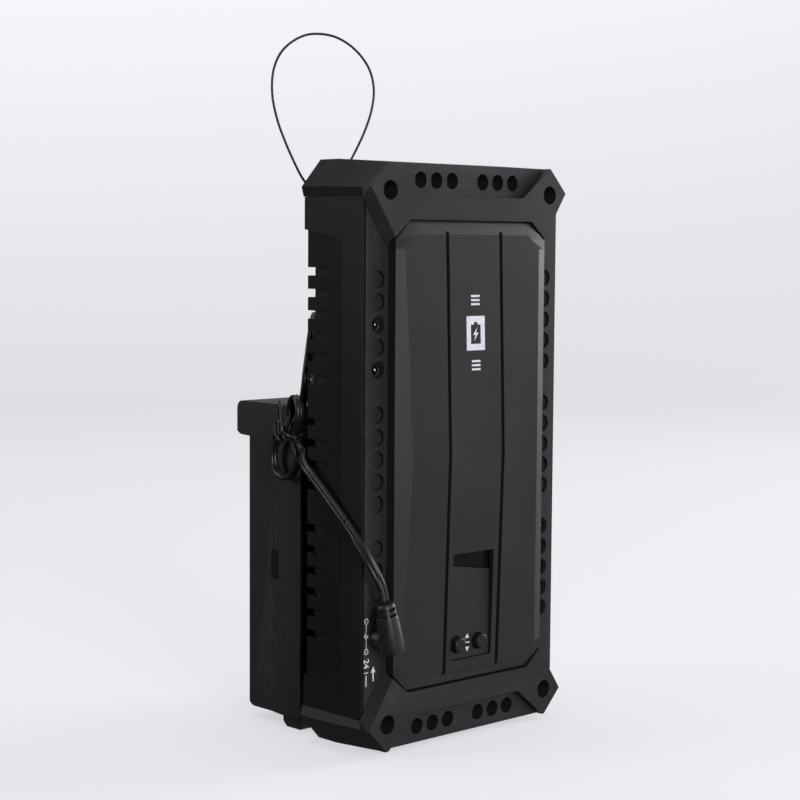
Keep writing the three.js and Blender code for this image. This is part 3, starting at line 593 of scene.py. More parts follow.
def tube(name, route, profile, wide=None):
    """A closed tube along a route of row-frame points; profile is in millimetres and its x runs
    along wide, the direction of the tube's broad side at each point."""
    count = len(profile)
    vertices = []
    travelled = [0.0]
    side = None
    for i, point in enumerate(route):
        ahead = (route[min(i + 1, len(route) - 1)] - route[max(i - 1, 0)]).normalized()
        if wide:
            side = wide[i]
        elif side is None:
            side = ahead.orthogonal()
        side = (side - ahead * side.dot(ahead)).normalized()
        up = ahead.cross(side)
        vertices += [point + (side * x + up * y) * MM for x, y in profile]
        if i:
            travelled.append(travelled[-1] + (point - route[i - 1]).length / MM)
    mesh = bpy.data.meshes.new(name)
    faces = []
    for level in range(len(route) - 1):
        for i in range(count):
            a = level * count + i
            b = level * count + (i + 1) % count
            faces.append((a, b, b + count, a + count))
    faces.append(tuple(range(count - 1, -1, -1)))
    faces.append(tuple(range((len(route) - 1) * count, len(route) * count)))
    mesh.from_pydata(vertices, [], faces)
    uv = mesh.uv_layers.new(name="along")
    for face in mesh.polygons[:-2]:
        level, i = divmod(face.index, count)
        corners = [(level, i), (level, i + 1), (level + 1, i + 1), (level + 1, i)]
        for loop, (ring, around) in zip(face.loop_indices, corners):
            uv.data[loop].uv = (travelled[ring], around / count)
    obj = bpy.data.objects.new(name, mesh)
    bpy.context.scene.collection.objects.link(obj)
    return smooth(obj, 60)


def twin_profile():
    """Two round cores side by side, joined by a narrow web."""
    radius = LEAD_THICKNESS / 2
    offset = LEAD_WIDTH / 2 - radius
    meet = degrees(acos(-offset / radius))
    right = arc((offset, 0), radius, -meet, meet, 11)
    left = arc((-offset, 0), radius, 180 - meet, 180 + meet, 11)
    return right[:-1] + left[:-1]


def in_row(points):
    return [row(p) for p in points]


# from the gland on the pack, in an arch behind the box, down to the hank
ARCH = [
    (-25, 82, 180.4), (-25.2, 81.6, 188), (-27, 79.5, 197), (-31.5, 74.5, 205.5), (-38, 67.5, 209.5),
    (-45, 60.5, 208.5), (-51.5, 54.8, 202), (-56.3, 51.4, 192), (-58.9, 50.4, 182), (-59.4, 51.2, 173.6),
]
INTO_HANK = [(-58.6, 54.2, 166.2), (-58.9, 57.4, 159), (-60.2, 60.2, 152.4)]
BETWEEN_LOOPS = [(-60.6, 65.4, 150.4), (-60.2, 62.9, 154.6)]
OUT_OF_HANK = [(-61.2, 56.4, 151.2), (-60.6, 56.2, 147.4), (-60.7, 53.6, 144.6)]
SIDE_RUN = [
    (-61.4, 50.6, 142.9), (-64.2, 47.8, 141.5), (-66.9, 44.4, 139.6), (-68.5, 40.6, 137.3),
    (-69, 36.4, 134.6), (-69, 30, 129.6), (-69, 22, 123.2), (-69, 14.6, 117.2), (-69, 10, 113.4),
]
PLUG_RUN = [
    (-69, 9.6, 113.1), (-69.2, 4, 108.2), (-69.5, -1.6, 102.8), (-69, -6.4, 96.8), (-67.3, -9.4, 91),
    (-65, -10.4, 86), (-63.2, -10.5, 81.6), (-62.2, -10.5, 77.4),
]


def lower_loop(steps=13):
    """From the tie down the front of the lower loop, round and up its back."""
    points = []
    for i in range(steps):
        angle = radians(146 + 266 * i / (steps - 1))
        points.append((-60.7, 64.9 + 9.3 * cos(angle), 138.8 + 10.2 * sin(angle)))
    return points


def upper_loop(steps=12):
    """From the tie up the back of the upper loop, over and down its front."""
    points = []
    for i in range(steps):
        angle = radians(-16 + 236 * i / (steps - 1))
        points.append((-60.9 + 1.7 * cos(angle), 57 + 5.4 * cos(angle), 162 + 7.4 * sin(angle)))
    return points


def add_pack_lead():
    """The lead from the pack to where it crosses the box's side: arch, tied hank, side run."""
    controls = (ARCH + INTO_HANK + lower_loop() + BETWEEN_LOOPS + upper_loop() + OUT_OF_HANK + SIDE_RUN)
    arch_side = Vector((0.67, -0.74, 0))
    across = Vector((1, 0, 0))
    twisting = [Vector((0.7, 0.4, -0.5)), Vector((0.35, 0.6, -0.7)), Vector((0.2, 0.7, -0.6)),
                Vector((0.15, 0.75, -0.6)), Vector((0.1, 0.75, -0.65)), Vector((0, 0.65, -0.75))]
    wide = [arch_side.lerp(across, i / len(ARCH)) for i in range(len(ARCH))]
    coiled = len(INTO_HANK) + len(BETWEEN_LOOPS) + len(lower_loop()) + len(upper_loop()) + 1
    wide += [across] * coiled
    wide += twisting
    wide += [Vector((0, 0.65, -0.76))] * (len(controls) - len(wide))
    route = smooth_route(in_row(controls), 4)
    lead = tube("pack_lead", route, twin_profile(), spread(wide, 4))
    lead.data.materials.append(JACKET)
    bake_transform(lead)
    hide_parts("lead_upper", "lead_hank", "lead_side")


def add_plug_lead():
    """The last of the lead, round the front corner and into the plug."""
    wide = [Vector((0, 0.65, -0.76)), Vector((0, 0.65, -0.76)), Vector((-0.3, 0.6, -0.7)),
            Vector((-0.6, 0.5, -0.5)), Vector((-0.85, 0.3, -0.3)), Vector((-0.95, 0.1, -0.3)),
            Vector((-0.97, 0, -0.2)), Vector((-0.97, 0, -0.2))]
    route = smooth_route(in_row(PLUG_RUN), 6)
    lead = tube("plug_lead", route, twin_profile(), spread(wide, 6))
    lead.data.materials.append(JACKET)
    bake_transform(lead)
    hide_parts("lead_lower")


# the black wire tie round the hank: two wraps, a twisted knot, a small loop and a pointed tail
TIE_ROUTE = [
    (-57.3, 62.5, 152.3), (-58.3, 65.2, 152.6), (-61.5, 65.6, 153.0), (-64.2, 63.0, 152.2),
    (-64.6, 58.5, 150.6), (-63.8, 55.6, 149.8), (-60.5, 54.6, 150.0), (-57.6, 56.5, 150.9),
    (-57.2, 60.5, 152.6), (-58.6, 64.6, 154.4), (-62.0, 65.2, 154.2), (-65.2, 62.4, 152.8),
    (-66.2, 59.4, 150.0), (-66.0, 60.4, 147.6), (-65.4, 64.0, 148.2), (-65.0, 67.2, 151.6),
    (-64.4, 68.2, 155.0), (-64.2, 66.6, 157.0), (-64.6, 64.8, 155.4), (-65.6, 63.6, 151.4),
    (-66.6, 62.2, 150.4), (-66.8, 60.2, 152.6), (-66.0, 61.0, 156.4), (-64.6, 63.4, 161.0),
    (-63.2, 65.9, 165.2), (-62.8, 66.8, 166.8),
]


def add_lead_tie():
    route = smooth_route(in_row(TIE_ROUTE), 6)
    tie = tube("lead_tie_wrap", route, circle(0.75, 12))
    tie.data.materials.append(JACKET)
    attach(tie, "battery")
    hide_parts("lead_tie")


EYE = (-51, 48.2, 250)
# (x, z) from one end inside the ferrule, round the loop and back through the eye
WIRE_LOOP = [
    (-53.2, 261.5), (-53.2, 266.5), (-56.5, 270.5), (-63.6, 276.5), (-69.5, 285), (-75.6, 295.5),
    (-80, 305), (-82.8, 316), (-82.2, 327), (-78, 335.5), (-71, 341.5), (-62, 345.6), (-52.5, 346.9),
    (-43, 346.2), (-34, 343.2), (-25.8, 338), (-19.8, 331), (-17.3, 322), (-18.8, 312), (-23, 302),
    (-28.3, 293), (-33.8, 285), (-41, 276), (-47, 269.5), (-48.8, 264), (-48.8, 256.5), (-49.2, 252.6),
    (-51, 250.2), (-52.8, 252.6), (-53.2, 256.5), (-53.2, 260.5),
]


def add_hanging_wire():
    route = smooth_route(in_row([(x, EYE[1], z) for x, z in WIRE_LOOP]), 6)
    wire = tube("hanging_wire_loop", route, circle(WIRE_DIAMETER / 2, 10))
    wire.data.materials.append(WIRE)
    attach(wire, "box")
    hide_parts("hanging_wire")


# ------------------------------------------------------------------ front cover and panel
PANEL_RIM = [(x, z + MID) for x, z in [
    (-PANEL_HALF_WIDTH, -PANEL_CORNER_Z), (-PANEL_CORNER_X, -PANEL_HALF_HEIGHT),
    (PANEL_CORNER_X, -PANEL_HALF_HEIGHT), (PANEL_HALF_WIDTH, -PANEL_CORNER_Z),
    (PANEL_HALF_WIDTH, PANEL_CORNER_Z), (PANEL_CORNER_X, PANEL_HALF_HEIGHT),
    (-PANEL_CORNER_X, PANEL_HALF_HEIGHT), (-PANEL_HALF_WIDTH, PANEL_CORNER_Z),
]]
COVER_HALF_WIDTH = BODY_HALF_WIDTH - 1.1


def crown_y(from_middle):
    return -CROWN_RISE + CROWN_SLOPE * abs(from_middle)


def rim_half_width(from_middle):
    """The rim narrows along the corner cuts."""
    into_cut = (from_middle - PANEL_CORNER_Z) / (PANEL_HALF_HEIGHT - PANEL_CORNER_Z)
    return PANEL_HALF_WIDTH - max(0, into_cut) * (PANEL_HALF_WIDTH - PANEL_CORNER_X)


def crowned_panel(name, inset, back_y):
    """The crowned panel as a stack of cross-sections; inset makes the hollow behind it."""
    # height from the middle, face half-width, rim y, face y
    upper = [
        (0, 43.3, -ARMOUR_RISE, crown_y(0)),
        (PANEL_FACE_TAPER, 46.4, -ARMOUR_RISE, crown_y(PANEL_FACE_TAPER)),
        (PANEL_CORNER_Z, 42, -ARMOUR_RISE, crown_y(PANEL_CORNER_Z)),
        (PANEL_FACE_END, 38.8, FACE_END_RIM_Y, crown_y(PANEL_FACE_END)),
        (PANEL_HALF_HEIGHT, 35.5, END_RIM_Y, END_RIM_Y - 0.05),
    ]
    lower = [(-height, *rest) for height, *rest in reversed(upper[1:])]
    shrink = 1 - inset / PANEL_HALF_HEIGHT
    rings = []
    for from_middle, face, rim_y, face_y in lower + upper:
        z = MID + from_middle * shrink
        rim = rim_half_width(abs(from_middle)) - inset
        top = face - inset
        rings.append([
            (-rim, back_y, z), (rim, back_y, z), (rim, rim_y + inset, z),
            (top, face_y + inset, z), (-top, face_y + inset, z), (-rim, rim_y + inset, z),
        ])
    return loft(name, rings)


def panel_groove(x):
    rings = []
    for from_middle in (-GROOVE_END, 0, GROOVE_END):
        floor = crown_y(from_middle) + GROOVE_DEPTH
        z = MID + from_middle
        left = x - GROOVE_WIDTH / 2
        right = x + GROOVE_WIDTH / 2
        rings.append([(left, floor, z), (right, floor, z), (right, -20, z), (left, -20, z)])
    return loft("groove", rings)


def screw_places():
    return [(side * SCREW_X, MID + end * SCREW_Z) for end in (1, -1) for side in (-1, 1)]


def strip_holes():
    holes = []
    for place in range(17):
        if place in BLANK_PLACES:
            continue
        for side, sockets in ((-1, OPEN_LEFT), (1, OPEN_RIGHT)):
            depth = COVER_THICKNESS + 1 if place in sockets else HOLE_DEPTH
            holes.append(cylinder_y("hole", side * COLUMN_X, hole_z(place), HOLE_RADIUS, (-1, depth)))
    return holes


def add_front_cover():
    cover = box("front_cover_moulding", (-COVER_HALF_WIDTH, COVER_HALF_WIDTH), (0, COVER_THICKNESS),
                (MID - SEAM + GAP, MID + SEAM - GAP))
    boolean(cover, [crowned_panel("panel", 0, COVER_THICKNESS - 0.5)], "UNION")
    opening = box("opening", (-OPENING_HALF_WIDTH, OPENING_HALF_WIDTH), (-20, 0),
                  (OPENING_LOW, OPENING_HIGH))
    tools = [
        crowned_panel("hollow", PANEL_WALL, COVER_THICKNESS + 1),
        panel_groove(-GROOVE_X), panel_groove(GROOVE_X), opening,
        joined(strip_holes() + [cylinder_y("screw", x, z, 4.9, (-2, 8)) for x, z in screw_places()],
               "holes"),
    ]
    boolean(cover, tools)
    round_edges(cover, 0.38, 3, 10)
    finish_piece(cover, "box", PANEL, ["front_cover"])


# ------------------------------------------------------------------ end bumpers
SEAM_CLOSED = 0.22             # the visible seam is this much finer than the CAD clearance
DRAFT_START = 30
END_DRAFT = 2.2
RIDGE_DRAFT = 0.9
BUMPER_OUTLINE = [(x, z + MID) for x, z in [
    (-67.2, SEAM - SEAM_CLOSED), (67.2, SEAM - SEAM_CLOSED), (RIDGE_HALF_WIDTH, RIDGE_HEIGHT),
    (END_HALF_WIDTH, MID), (-END_HALF_WIDTH, MID), (-RIDGE_HALF_WIDTH, RIDGE_HEIGHT),
]]
# the flat end slopes away towards the front, as moulding draft does
DRAFTED_OUTLINE = [(x, z + MID) for x, z in [
    (-67.2, SEAM - SEAM_CLOSED), (67.2, SEAM - SEAM_CLOSED),
    (RIDGE_HALF_WIDTH - 0.4, RIDGE_HEIGHT - RIDGE_DRAFT), (END_HALF_WIDTH, MID - END_DRAFT),
    (-END_HALF_WIDTH, MID - END_DRAFT), (-(RIDGE_HALF_WIDTH - 0.4), RIDGE_HEIGHT - RIDGE_DRAFT),
]]
# the face plate reaches down both sides of the raised panel
ARMOUR_OUTLINE = [(x, z + MID) for x, z in [
    (-67.2, 128.6), (-51.2, 104.8), (-42, 112), (42, 112), (51.2, 104.8), (67.2, 128.6),
    (55.8, 140.6), (-55.8, 140.6),
]]
POCKET_OUTLINE = [(x, z + MID) for x, z in [
    (-35.8, 125.5), (35.8, 125.5), (58.6, MID + 1), (-58.6, MID + 1),
]]
BUMPER_HOLES = [place * 10.6 for place in (-3, -2, -1, 1, 2, 3)]
BUMPER_HOLE_Z = MID + 132.9


def at_depth(outline, y):
    return [(x, y, z) for x, z in outline]


def armour_plate():
    plate = loft("armour", [
        at_depth(ARMOUR_OUTLINE, -ARMOUR_RISE),
        at_depth(offset_outline(ARMOUR_OUTLINE, ARMOUR_SLOPE), -GAP),
    ])
    front_zone = prism_y("zone", [
        (-RIDGE_HALF_WIDTH, MID + 90), (RIDGE_HALF_WIDTH, MID + 90), *DRAFTED_OUTLINE[2:],
    ], (-ARMOUR_RISE - 1, 0))
    return boolean(plate, [front_zone], "INTERSECT")


def bumper_shape(name):
    bumper = loft(name, [
        at_depth(DRAFTED_OUTLINE, -POCKET_RISE),
        at_depth(BUMPER_OUTLINE, DRAFT_START),
        at_depth(BUMPER_OUTLINE, BODY_DEPTH + 0.4),
    ])
    boolean(bumper, [armour_plate()], "UNION")
    cavity = prism_y("cavity", [(x, z + MID) for x, z in [
        (-63.4, SEAM - 1), (63.4, SEAM - 1), (63.4, 128), (53.4, 139.4), (-53.4, 139.4), (-63.4, 128),
    ]], (8, BODY_DEPTH - 2.5))
    holes = [cylinder_y("hole", x, BUMPER_HOLE_Z, 4, (-3, 6)) for x in BUMPER_HOLES]
    for side in (-1, 1):
        holes.append(cylinder_y("hole", side * SCREW_X, MID + SCREW_Z, 4.6, (-7, 6)))
    tools = [
        prism_y("panel", offset_outline(PANEL_RIM, PANEL_GAP), (-ARMOUR_RISE - 1, 0)),
        prism_y("pocket", POCKET_OUTLINE, (-ARMOUR_RISE - 1, -POCKET_RISE)),
        cavity,
        joined(holes, "holes"),
    ]
    boolean(bumper, tools)
    return bumper


def add_bumpers():
    top = bumper_shape("top_bumper_moulding")
    bottom = joined([bumper_shape("turned_over")], "bottom_bumper_moulding")
    centre = row((0, 0, MID))
    turn = Matrix.Translation(centre) @ Matrix.Rotation(pi, 4, "Y") @ Matrix.Translation(-centre)
    bottom.data.transform(turn)
    for bumper, node in ((top, "top_bumper"), (bottom, "bottom_bumper")):
        round_edges(bumper, 0.85, 3, 12)
        finish_piece(bumper, "box", BUMPER, [node])


HEX_KEY_RADIUS = 1.8


def add_corner_screws():
    """Socket-head screws, deep in the bumpers' corner holes."""
    for i, (x, z) in enumerate(screw_places(), 1):
        profile = [(0, 2.2), (2.9, 2.2), (3.4, 2.7), (3.4, 5.7), (1.9, 5.7), (1.9, 26), (0, 26)]
        screw = turned_y(f"corner_screw_{i}_steel", profile, x, z, 32)
        key = cylinder_y("key", x, z, HEX_KEY_RADIUS, (1, 4), 6)
        boolean(screw, [key])
        round_edges(screw, 0.15)
        finish_piece(screw, "box", DARK_STEEL, [f"corner_screw_{i}"])


# ------------------------------------------------------------------ mouldings that keep their CAD shape
def refine(node, body, material, width, segments=2):
    """The CAD node's own shape with its edges rounded."""
    obj = copy_of(node, f"{node}_moulding")
    round_edges(obj, width, segments)
    return finish_piece(obj, body, material, [node])


def add_refined_mouldings():
    refine("rear_shell", "box", SHELL_PAINTED_SHADE, 0.35)
    refine("pack_front_case", "battery", PACK_PAINTED_LIGHT, 0.5)
    refine("pack_rear_case", "battery", PACK_PAINTED_LIGHT, 0.7, 3)
    refine("left_release_catch", "left_catch", SHELL_PAINTED_SHADE, 0.35)
    refine("right_release_catch", "right_catch", SHELL_PAINTED_SHADE, 0.35)
    refine("pack_mount", "box", SHELL_PAINTED_SHADE, 0.3)


def paint_hidden_nodes():
    """The pieces inside keep their CAD shapes and get finished materials."""
    finishes = {
        BOARD: ["main_board", "display_board", "radio_module", "pack_circuit_board"],
        ALUMINIUM: ["heat_sink", "filter_capacitor_1", "filter_capacitor_2"],
        SOCKET: ["segment_display", "address_down_switch", "address_up_switch"],
        STEEL: [f"mount_screw_{i}" for i in range(1, 5)],
        CELL_WRAP: [f"cell_{i}" for i in range(1, 8)],
    }
    for material, nodes in finishes.items():
        for node in nodes:
            for material_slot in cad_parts[node].material_slots:
                material_slot.material = material


# ------------------------------------------------------------------ controls and display
PLATE_TOP_LEFT = MID - 55.3
PLATE_TOP_RIGHT = MID - 59.5
CONTROL_FACE = -5.2
LENS_FACE = -4.6


def add_control_plate():
    half = OPENING_HALF_WIDTH - GAP
    plate = prism_y("control_plate_moulding", [
        (-half, OPENING_LOW + GAP), (half, OPENING_LOW + GAP), (half, PLATE_TOP_RIGHT),
        (-half, PLATE_TOP_LEFT),
    ], (CONTROL_FACE, -2.6))
    flange = box("flange", (-17, 17), (-2.9, -1.7), (OPENING_LOW - 2, OPENING_HIGH + 2))
    boolean(plate, [flange], "UNION")
    holes = [cylinder_y("hole", x, BUTTON_Z, 4.25, (-8, 0), 48) for x in BUTTON_X.values()]
    window = box("window", (-12, 12), (-4, -1), (PLATE_TOP_LEFT + 1, OPENING_HIGH - 1))
    boolean(plate, [joined(holes, "holes"), window])
    round_edges(plate, 0.25)
    finish_piece(plate, "box", PANEL, ["control_plate"])


def add_display_lens():
    half = OPENING_HALF_WIDTH - GAP
    lens = prism_y("display_lens_window", [
        (-half, PLATE_TOP_LEFT + GAP), (half, PLATE_TOP_RIGHT + GAP), (half, OPENING_HIGH - GAP),
        (-half, OPENING_HIGH - GAP),
    ], (LENS_FACE, -3.5))
    round_edges(lens, 0.2)
    finish_piece(lens, "box", LENS, ["display_lens"])


def add_buttons():
    for name, x in BUTTON_X.items():
        profile = [
            (0, -8.55), (1.6, -8.6), (2.9, -8.72), (3.35, -8.6), (3.58, -8.35), (BUTTON_RADIUS, -8.0),
            (BUTTON_RADIUS, -1.4), (5.2, -1.4), (5.2, -0.4), (1.5, -0.4), (1.5, 0.2), (0, 0.2),
        ]
        button = turned_y(f"{name}_cap", profile, x, BUTTON_Z, 56)
        smooth(button, 40)
        finish_piece(button, name, BUTTON, [f"{name}_button"])


def add_sockets():
    for side, sockets in ((-1, OPEN_LEFT), (1, OPEN_RIGHT)):
        for place, node in sockets.items():
            x = side * COLUMN_X
            z = hole_z(place)
            body = turned_y(f"{node}_body", [
                (0, 10), (3.1, 10), (3.1, 1.1), (3.35, 0.7), (3.9, 0.7), (3.9, 3.3), (5.1, 3.3), (5.1, 15),
                (0, 15),
            ], x, z, 36)
            smooth(body, 35)
            finish_piece(body, "box", SOCKET, [node])
            sleeve = turned_y(f"{node}_sleeve", [
                (2.95, 2.6), (3.05, 2.6), (3.05, 9.9), (2.8, 9.9), (2.8, 2.75), (2.95, 2.6),
            ], x, z, 36)
            smooth(sleeve, 35)
            finish_piece(sleeve, "box", NICKEL)
            pin = turned_y(f"{node}_pin", [
                (0, 1.6), (0.45, 1.65), (0.8, 1.9), (0.95, 2.4), (0.95, 9.95), (0, 9.95),
            ], x, z, 24)
            smooth(pin, 50)
            finish_piece(pin, "box", NICKEL)


# ------------------------------------------------------------------ plug, gland, eyelet, ferrule
PLUG_X = -COLUMN_X
PLUG_Y = -10.5
PLUG_LEAN = radians(-12)


def placed(obj, origin, turn):
    """Moves a piece built round the origin of the box's millimetres to its place, turned."""
    zero = row((0, 0, 0))
    obj.data.transform(Matrix.Translation(row(origin)) @ turn @ Matrix.Translation(-zero))
    return obj


def add_plug():
    """A right-angle barrel plug: flared body, ribbed strain relief, neck and metal barrel."""
    # height along the body, half-width, half-depth
    sections = [
        (-5.7, 4.6, 4.3), (-5.3, 5.5, 5.2), (-4.4, 5.95, 5.7), (0, 5.95, 5.75), (4, 5.85, 5.6),
        (9, 5.45, 5.2), (12, 5.15, 4.95), (12.6, 4.85, 4.7), (17.8, 4.55, 4.3), (18.8, 4.1, 3.8),
        (19.4, 3.1, 2.8),
    ]
    rings = []
    for z, half_width, half_depth in sections:
        rings.append([(half_width * cos(a) * (abs(cos(a)) ** -0.12 if abs(cos(a)) > 0.01 else 1),
                       half_depth * sin(a), z) for a in (2 * pi * i / 40 for i in range(40))])
    body = loft("power_plug_moulding", rings)
    slots = []
    for low in (13.0, 15.9):
        for left, right in ((-6, -3.1), (-2.0, 2.0), (3.1, 6)):
            slots.append(box("slot", (left, right), (-6, 6), (low, low + 1.3)))
    core = loft("core", [[(2.9 * cos(a), 2.6 * sin(a), z)
                          for a in (2 * pi * i / 24 for i in range(24))] for z in (12, 19)])
    cutter = joined(slots, "slots")
    boolean(cutter, [core])
    boolean(body, [cutter])
    neck = cylinder_y("neck", 0, 0, 5.1, (0, -PLUG_Y - GAP), 40)
    placed(body, (0, 0, 0), Matrix.Rotation(PLUG_LEAN, 4, "Y"))
    boolean(body, [neck], "UNION")
    placed(body, (PLUG_X, PLUG_Y, hole_z(16)), Matrix.Identity(4))
    round_edges(body, 0.25, 2, 35)
    finish_piece(body, "plug", PLUG_PLASTIC, ["power_plug"])
    barrel = turned_y("power_plug_barrel", [
        (1.25, 10), (2.75, 10), (2.75, 18.2), (2.55, 18.8), (1.45, 18.8), (1.25, 18.5), (1.25, 10),
    ], 0, 0, 36)
    smooth(barrel, 35)
    placed(barrel, (PLUG_X, PLUG_Y, hole_z(16)), Matrix.Identity(4))
    finish_piece(barrel, "plug", NICKEL)


def add_gland():
    """The tapered strain relief where the lead leaves the pack's top."""
    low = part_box("lead_gland")[0].z / MM
    radii = [(0, 4.6), (0.5, 5.3), (2.2, 5.3), (2.6, 4.7)]
    for rib in range(4):
        z = 3.2 + rib * 2.6
        radius = 4.6 - rib * 0.32
        radii += [(z, radius), (z + 1.5, radius - 0.12), (z + 1.7, radius - 0.75), (z + 2.4, radius - 0.8)]
    radii += [(14.2, 3.2), (15.0, 3.0), (15.2, 2.7)]
    x, y = ARCH[0][:2]
    rings = [[(x + px, y + py, low + z) for px, py in circle(radius, 36)] for z, radius in radii]
    gland = loft("lead_gland_sleeve", rings)
    smooth(gland, 35)
    finish_piece(gland, "battery", PLUG_PLASTIC, ["lead_gland"])


def add_eyelet():
    """A screwed-down ring on the box's back that the wire passes through."""
    x, y, z = EYE
    base = turned_y("wire_eyelet_base", [
        (0, BODY_DEPTH + GAP), (4, BODY_DEPTH + GAP), (4, 44.5), (3.6, 45), (1.7, 45), (1.4, 45.3),
        (0, 45.3),
    ], x, z, 36)
    vertices = []
    faces = []
    around, across = 40, 14
    for i in range(around):
        turn = 2 * pi * i / around
        for px, py in circle(1.1, across):
            reach = 3.2 + px
            vertices.append((x + py, y + reach * cos(turn), z + reach * sin(turn)))
    for i in range(around):
        for j in range(across):
            a = i * across + j
            b = i * across + (j + 1) % across
            ahead = across if i < around - 1 else -i * across
            faces.append((a, b, b + ahead, a + ahead))
    ring = mesh_object("ring", vertices, faces)
    boolean(base, [ring], "UNION")
    smooth(base, 35)
    finish_piece(base, "box", DARK_STEEL, ["wire_eyelet"])


def add_ferrule():
    """The crimped sleeve that closes the wire loop, with the crimping tool's dents."""
    x, y = EYE[:2]
    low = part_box("wire_ferrule")[0].z / MM
    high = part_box("wire_ferrule")[1].z / MM
    steps = 22
    rings = []
    for i in range(steps + 1):
        share = i / steps
        pinch = 0.22 * (1 - cos(2 * pi * share * 3)) / 2
        thin = 1.75 - pinch
        half = 3.75 - pinch * 0.4
        end = (0.35 if i in (0, steps) else 0)
        rings.append([
            (x + (half - thin if cos(a) > 0 else thin - half) + (thin - end) * cos(a),
             y + (thin - end) * sin(a), low + (high - low) * share)
            for a in (2 * pi * (j + 0.5) / 36 for j in range(36))])
    ferrule = loft("wire_ferrule_sleeve", rings)
    smooth(ferrule, 40)
    finish_piece(ferrule, "box", ALUMINIUM, ["wire_ferrule"])


# ------------------------------------------------------------------ printed marks
INK_THICKNESS = 0.04


def flat_mark(name, outlines, y, holes=()):
    """Thin prisms printed on a face that looks towards the front."""
    parts = [prism_y("mark", outline, (y - INK_THICKNESS, y + 0.02)) for outline in outlines]
    mark = joined(parts, name)
    if holes:
        cutters = [prism_y("hole", outline, (y - 1, y + 1)) for outline in holes]
        boolean(mark, [joined(cutters, "holes")])
    return mark


def leaning_to_crown(mark, z):
    """Tips a mark printed at y = 0 on to the sloping crown of the panel."""
    slope = CROWN_SLOPE if z > MID else -CROWN_SLOPE
    lean = Matrix.Rotation(-atan2(slope, 1), 4, "X")
    foot = row((0, 0, z))
    rise = row((0, crown_y(z - MID), z))
    mark.data.transform(Matrix.Translation(rise) @ lean @ Matrix.Translation(-foot))
    return mark


def number(text, x, z, height, sideways=0, thickness=INK_THICKNESS):
    """Generic figures in the built-in typeface, their foot at (x, z), turned by quarter turns."""
    curve = bpy.data.curves.new("figures", "FONT")
    curve.body = text
    curve.size = height * MM / 0.69
    curve.extrude = thickness / 2 * MM
    curve.offset = 0.02 * height * MM
    curve.align_x = "CENTER"
    curve.align_y = "CENTER"
    shape = bpy.data.objects.new("figures", curve)
    bpy.context.scene.collection.objects.link(shape)
    mesh = bpy.data.meshes.new_from_object(shape.evaluated_get(bpy.context.evaluated_depsgraph_get()))
    bpy.data.objects.remove(shape)
    upright = Matrix.Rotation(pi / 2, 4, "X")
    turned = Matrix.Rotation(sideways * pi / 2, 4, "Y")
    mesh.transform(Matrix.Translation(row((x, -thickness / 2, z))) @ turned @ upright)
    obj = bpy.data.objects.new("figures", mesh)
    bpy.context.scene.collection.objects.link(obj)
    return obj


def rectangle(x, z):
    return [(x[0], z[0]), (x[1], z[0]), (x[1], z[1]), (x[0], z[1])]


def printed(mark):
    return finish_piece(mark, "box", INK)


EMBLEM_Z = 202
EMBLEM_HALF_WIDTH = 6.3
EMBLEM_HALF_HEIGHT = 8.4
BATTERY_SIGN = [
    (-3.4, -5.2), (3.4, -5.2), (3.4, 4.2), (1.3, 4.2), (1.3, 5.4), (-1.3, 5.4), (-1.3, 4.2), (-3.4, 4.2),
]
BOLT_SIGN = [(1.1, 3.0), (-1.9, -0.9), (-0.2, -0.9), (-1.1, -3.8), (1.9, 0.3), (0.2, 0.3)]
BAR_HALF_WIDTH = 3
BAR_PITCH = 2
BAR_HEIGHT = 1


def raised_by(outline, z):
    return [(px, z + pz) for px, pz in outline]


def add_panel_emblem():
    """A plain battery sign with a bolt in a white field, between two groups of plain bars."""
    edge = rectangle((-EMBLEM_HALF_WIDTH, EMBLEM_HALF_WIDTH),
                     (EMBLEM_Z - EMBLEM_HALF_HEIGHT, EMBLEM_Z + EMBLEM_HALF_HEIGHT))
    field = flat_mark("emblem_field", [edge], 0, holes=[raised_by(BATTERY_SIGN, EMBLEM_Z)])
    sign = flat_mark("emblem_bolt", [raised_by(BOLT_SIGN, EMBLEM_Z)], 0)
    printed(leaning_to_crown(field, EMBLEM_Z))
    printed(leaning_to_crown(sign, EMBLEM_Z))
    for name, centre in (("emblem_bars_upper", 218.2), ("emblem_bars_lower", 186.3)):
        bars = []
        for i in range(3):
            low = centre - BAR_PITCH - BAR_HEIGHT / 2 + i * BAR_PITCH
            bars.append(rectangle((-BAR_HALF_WIDTH, BAR_HALF_WIDTH), (low, low + BAR_HEIGHT)))
        printed(leaning_to_crown(flat_mark(name, bars, 0), centre))


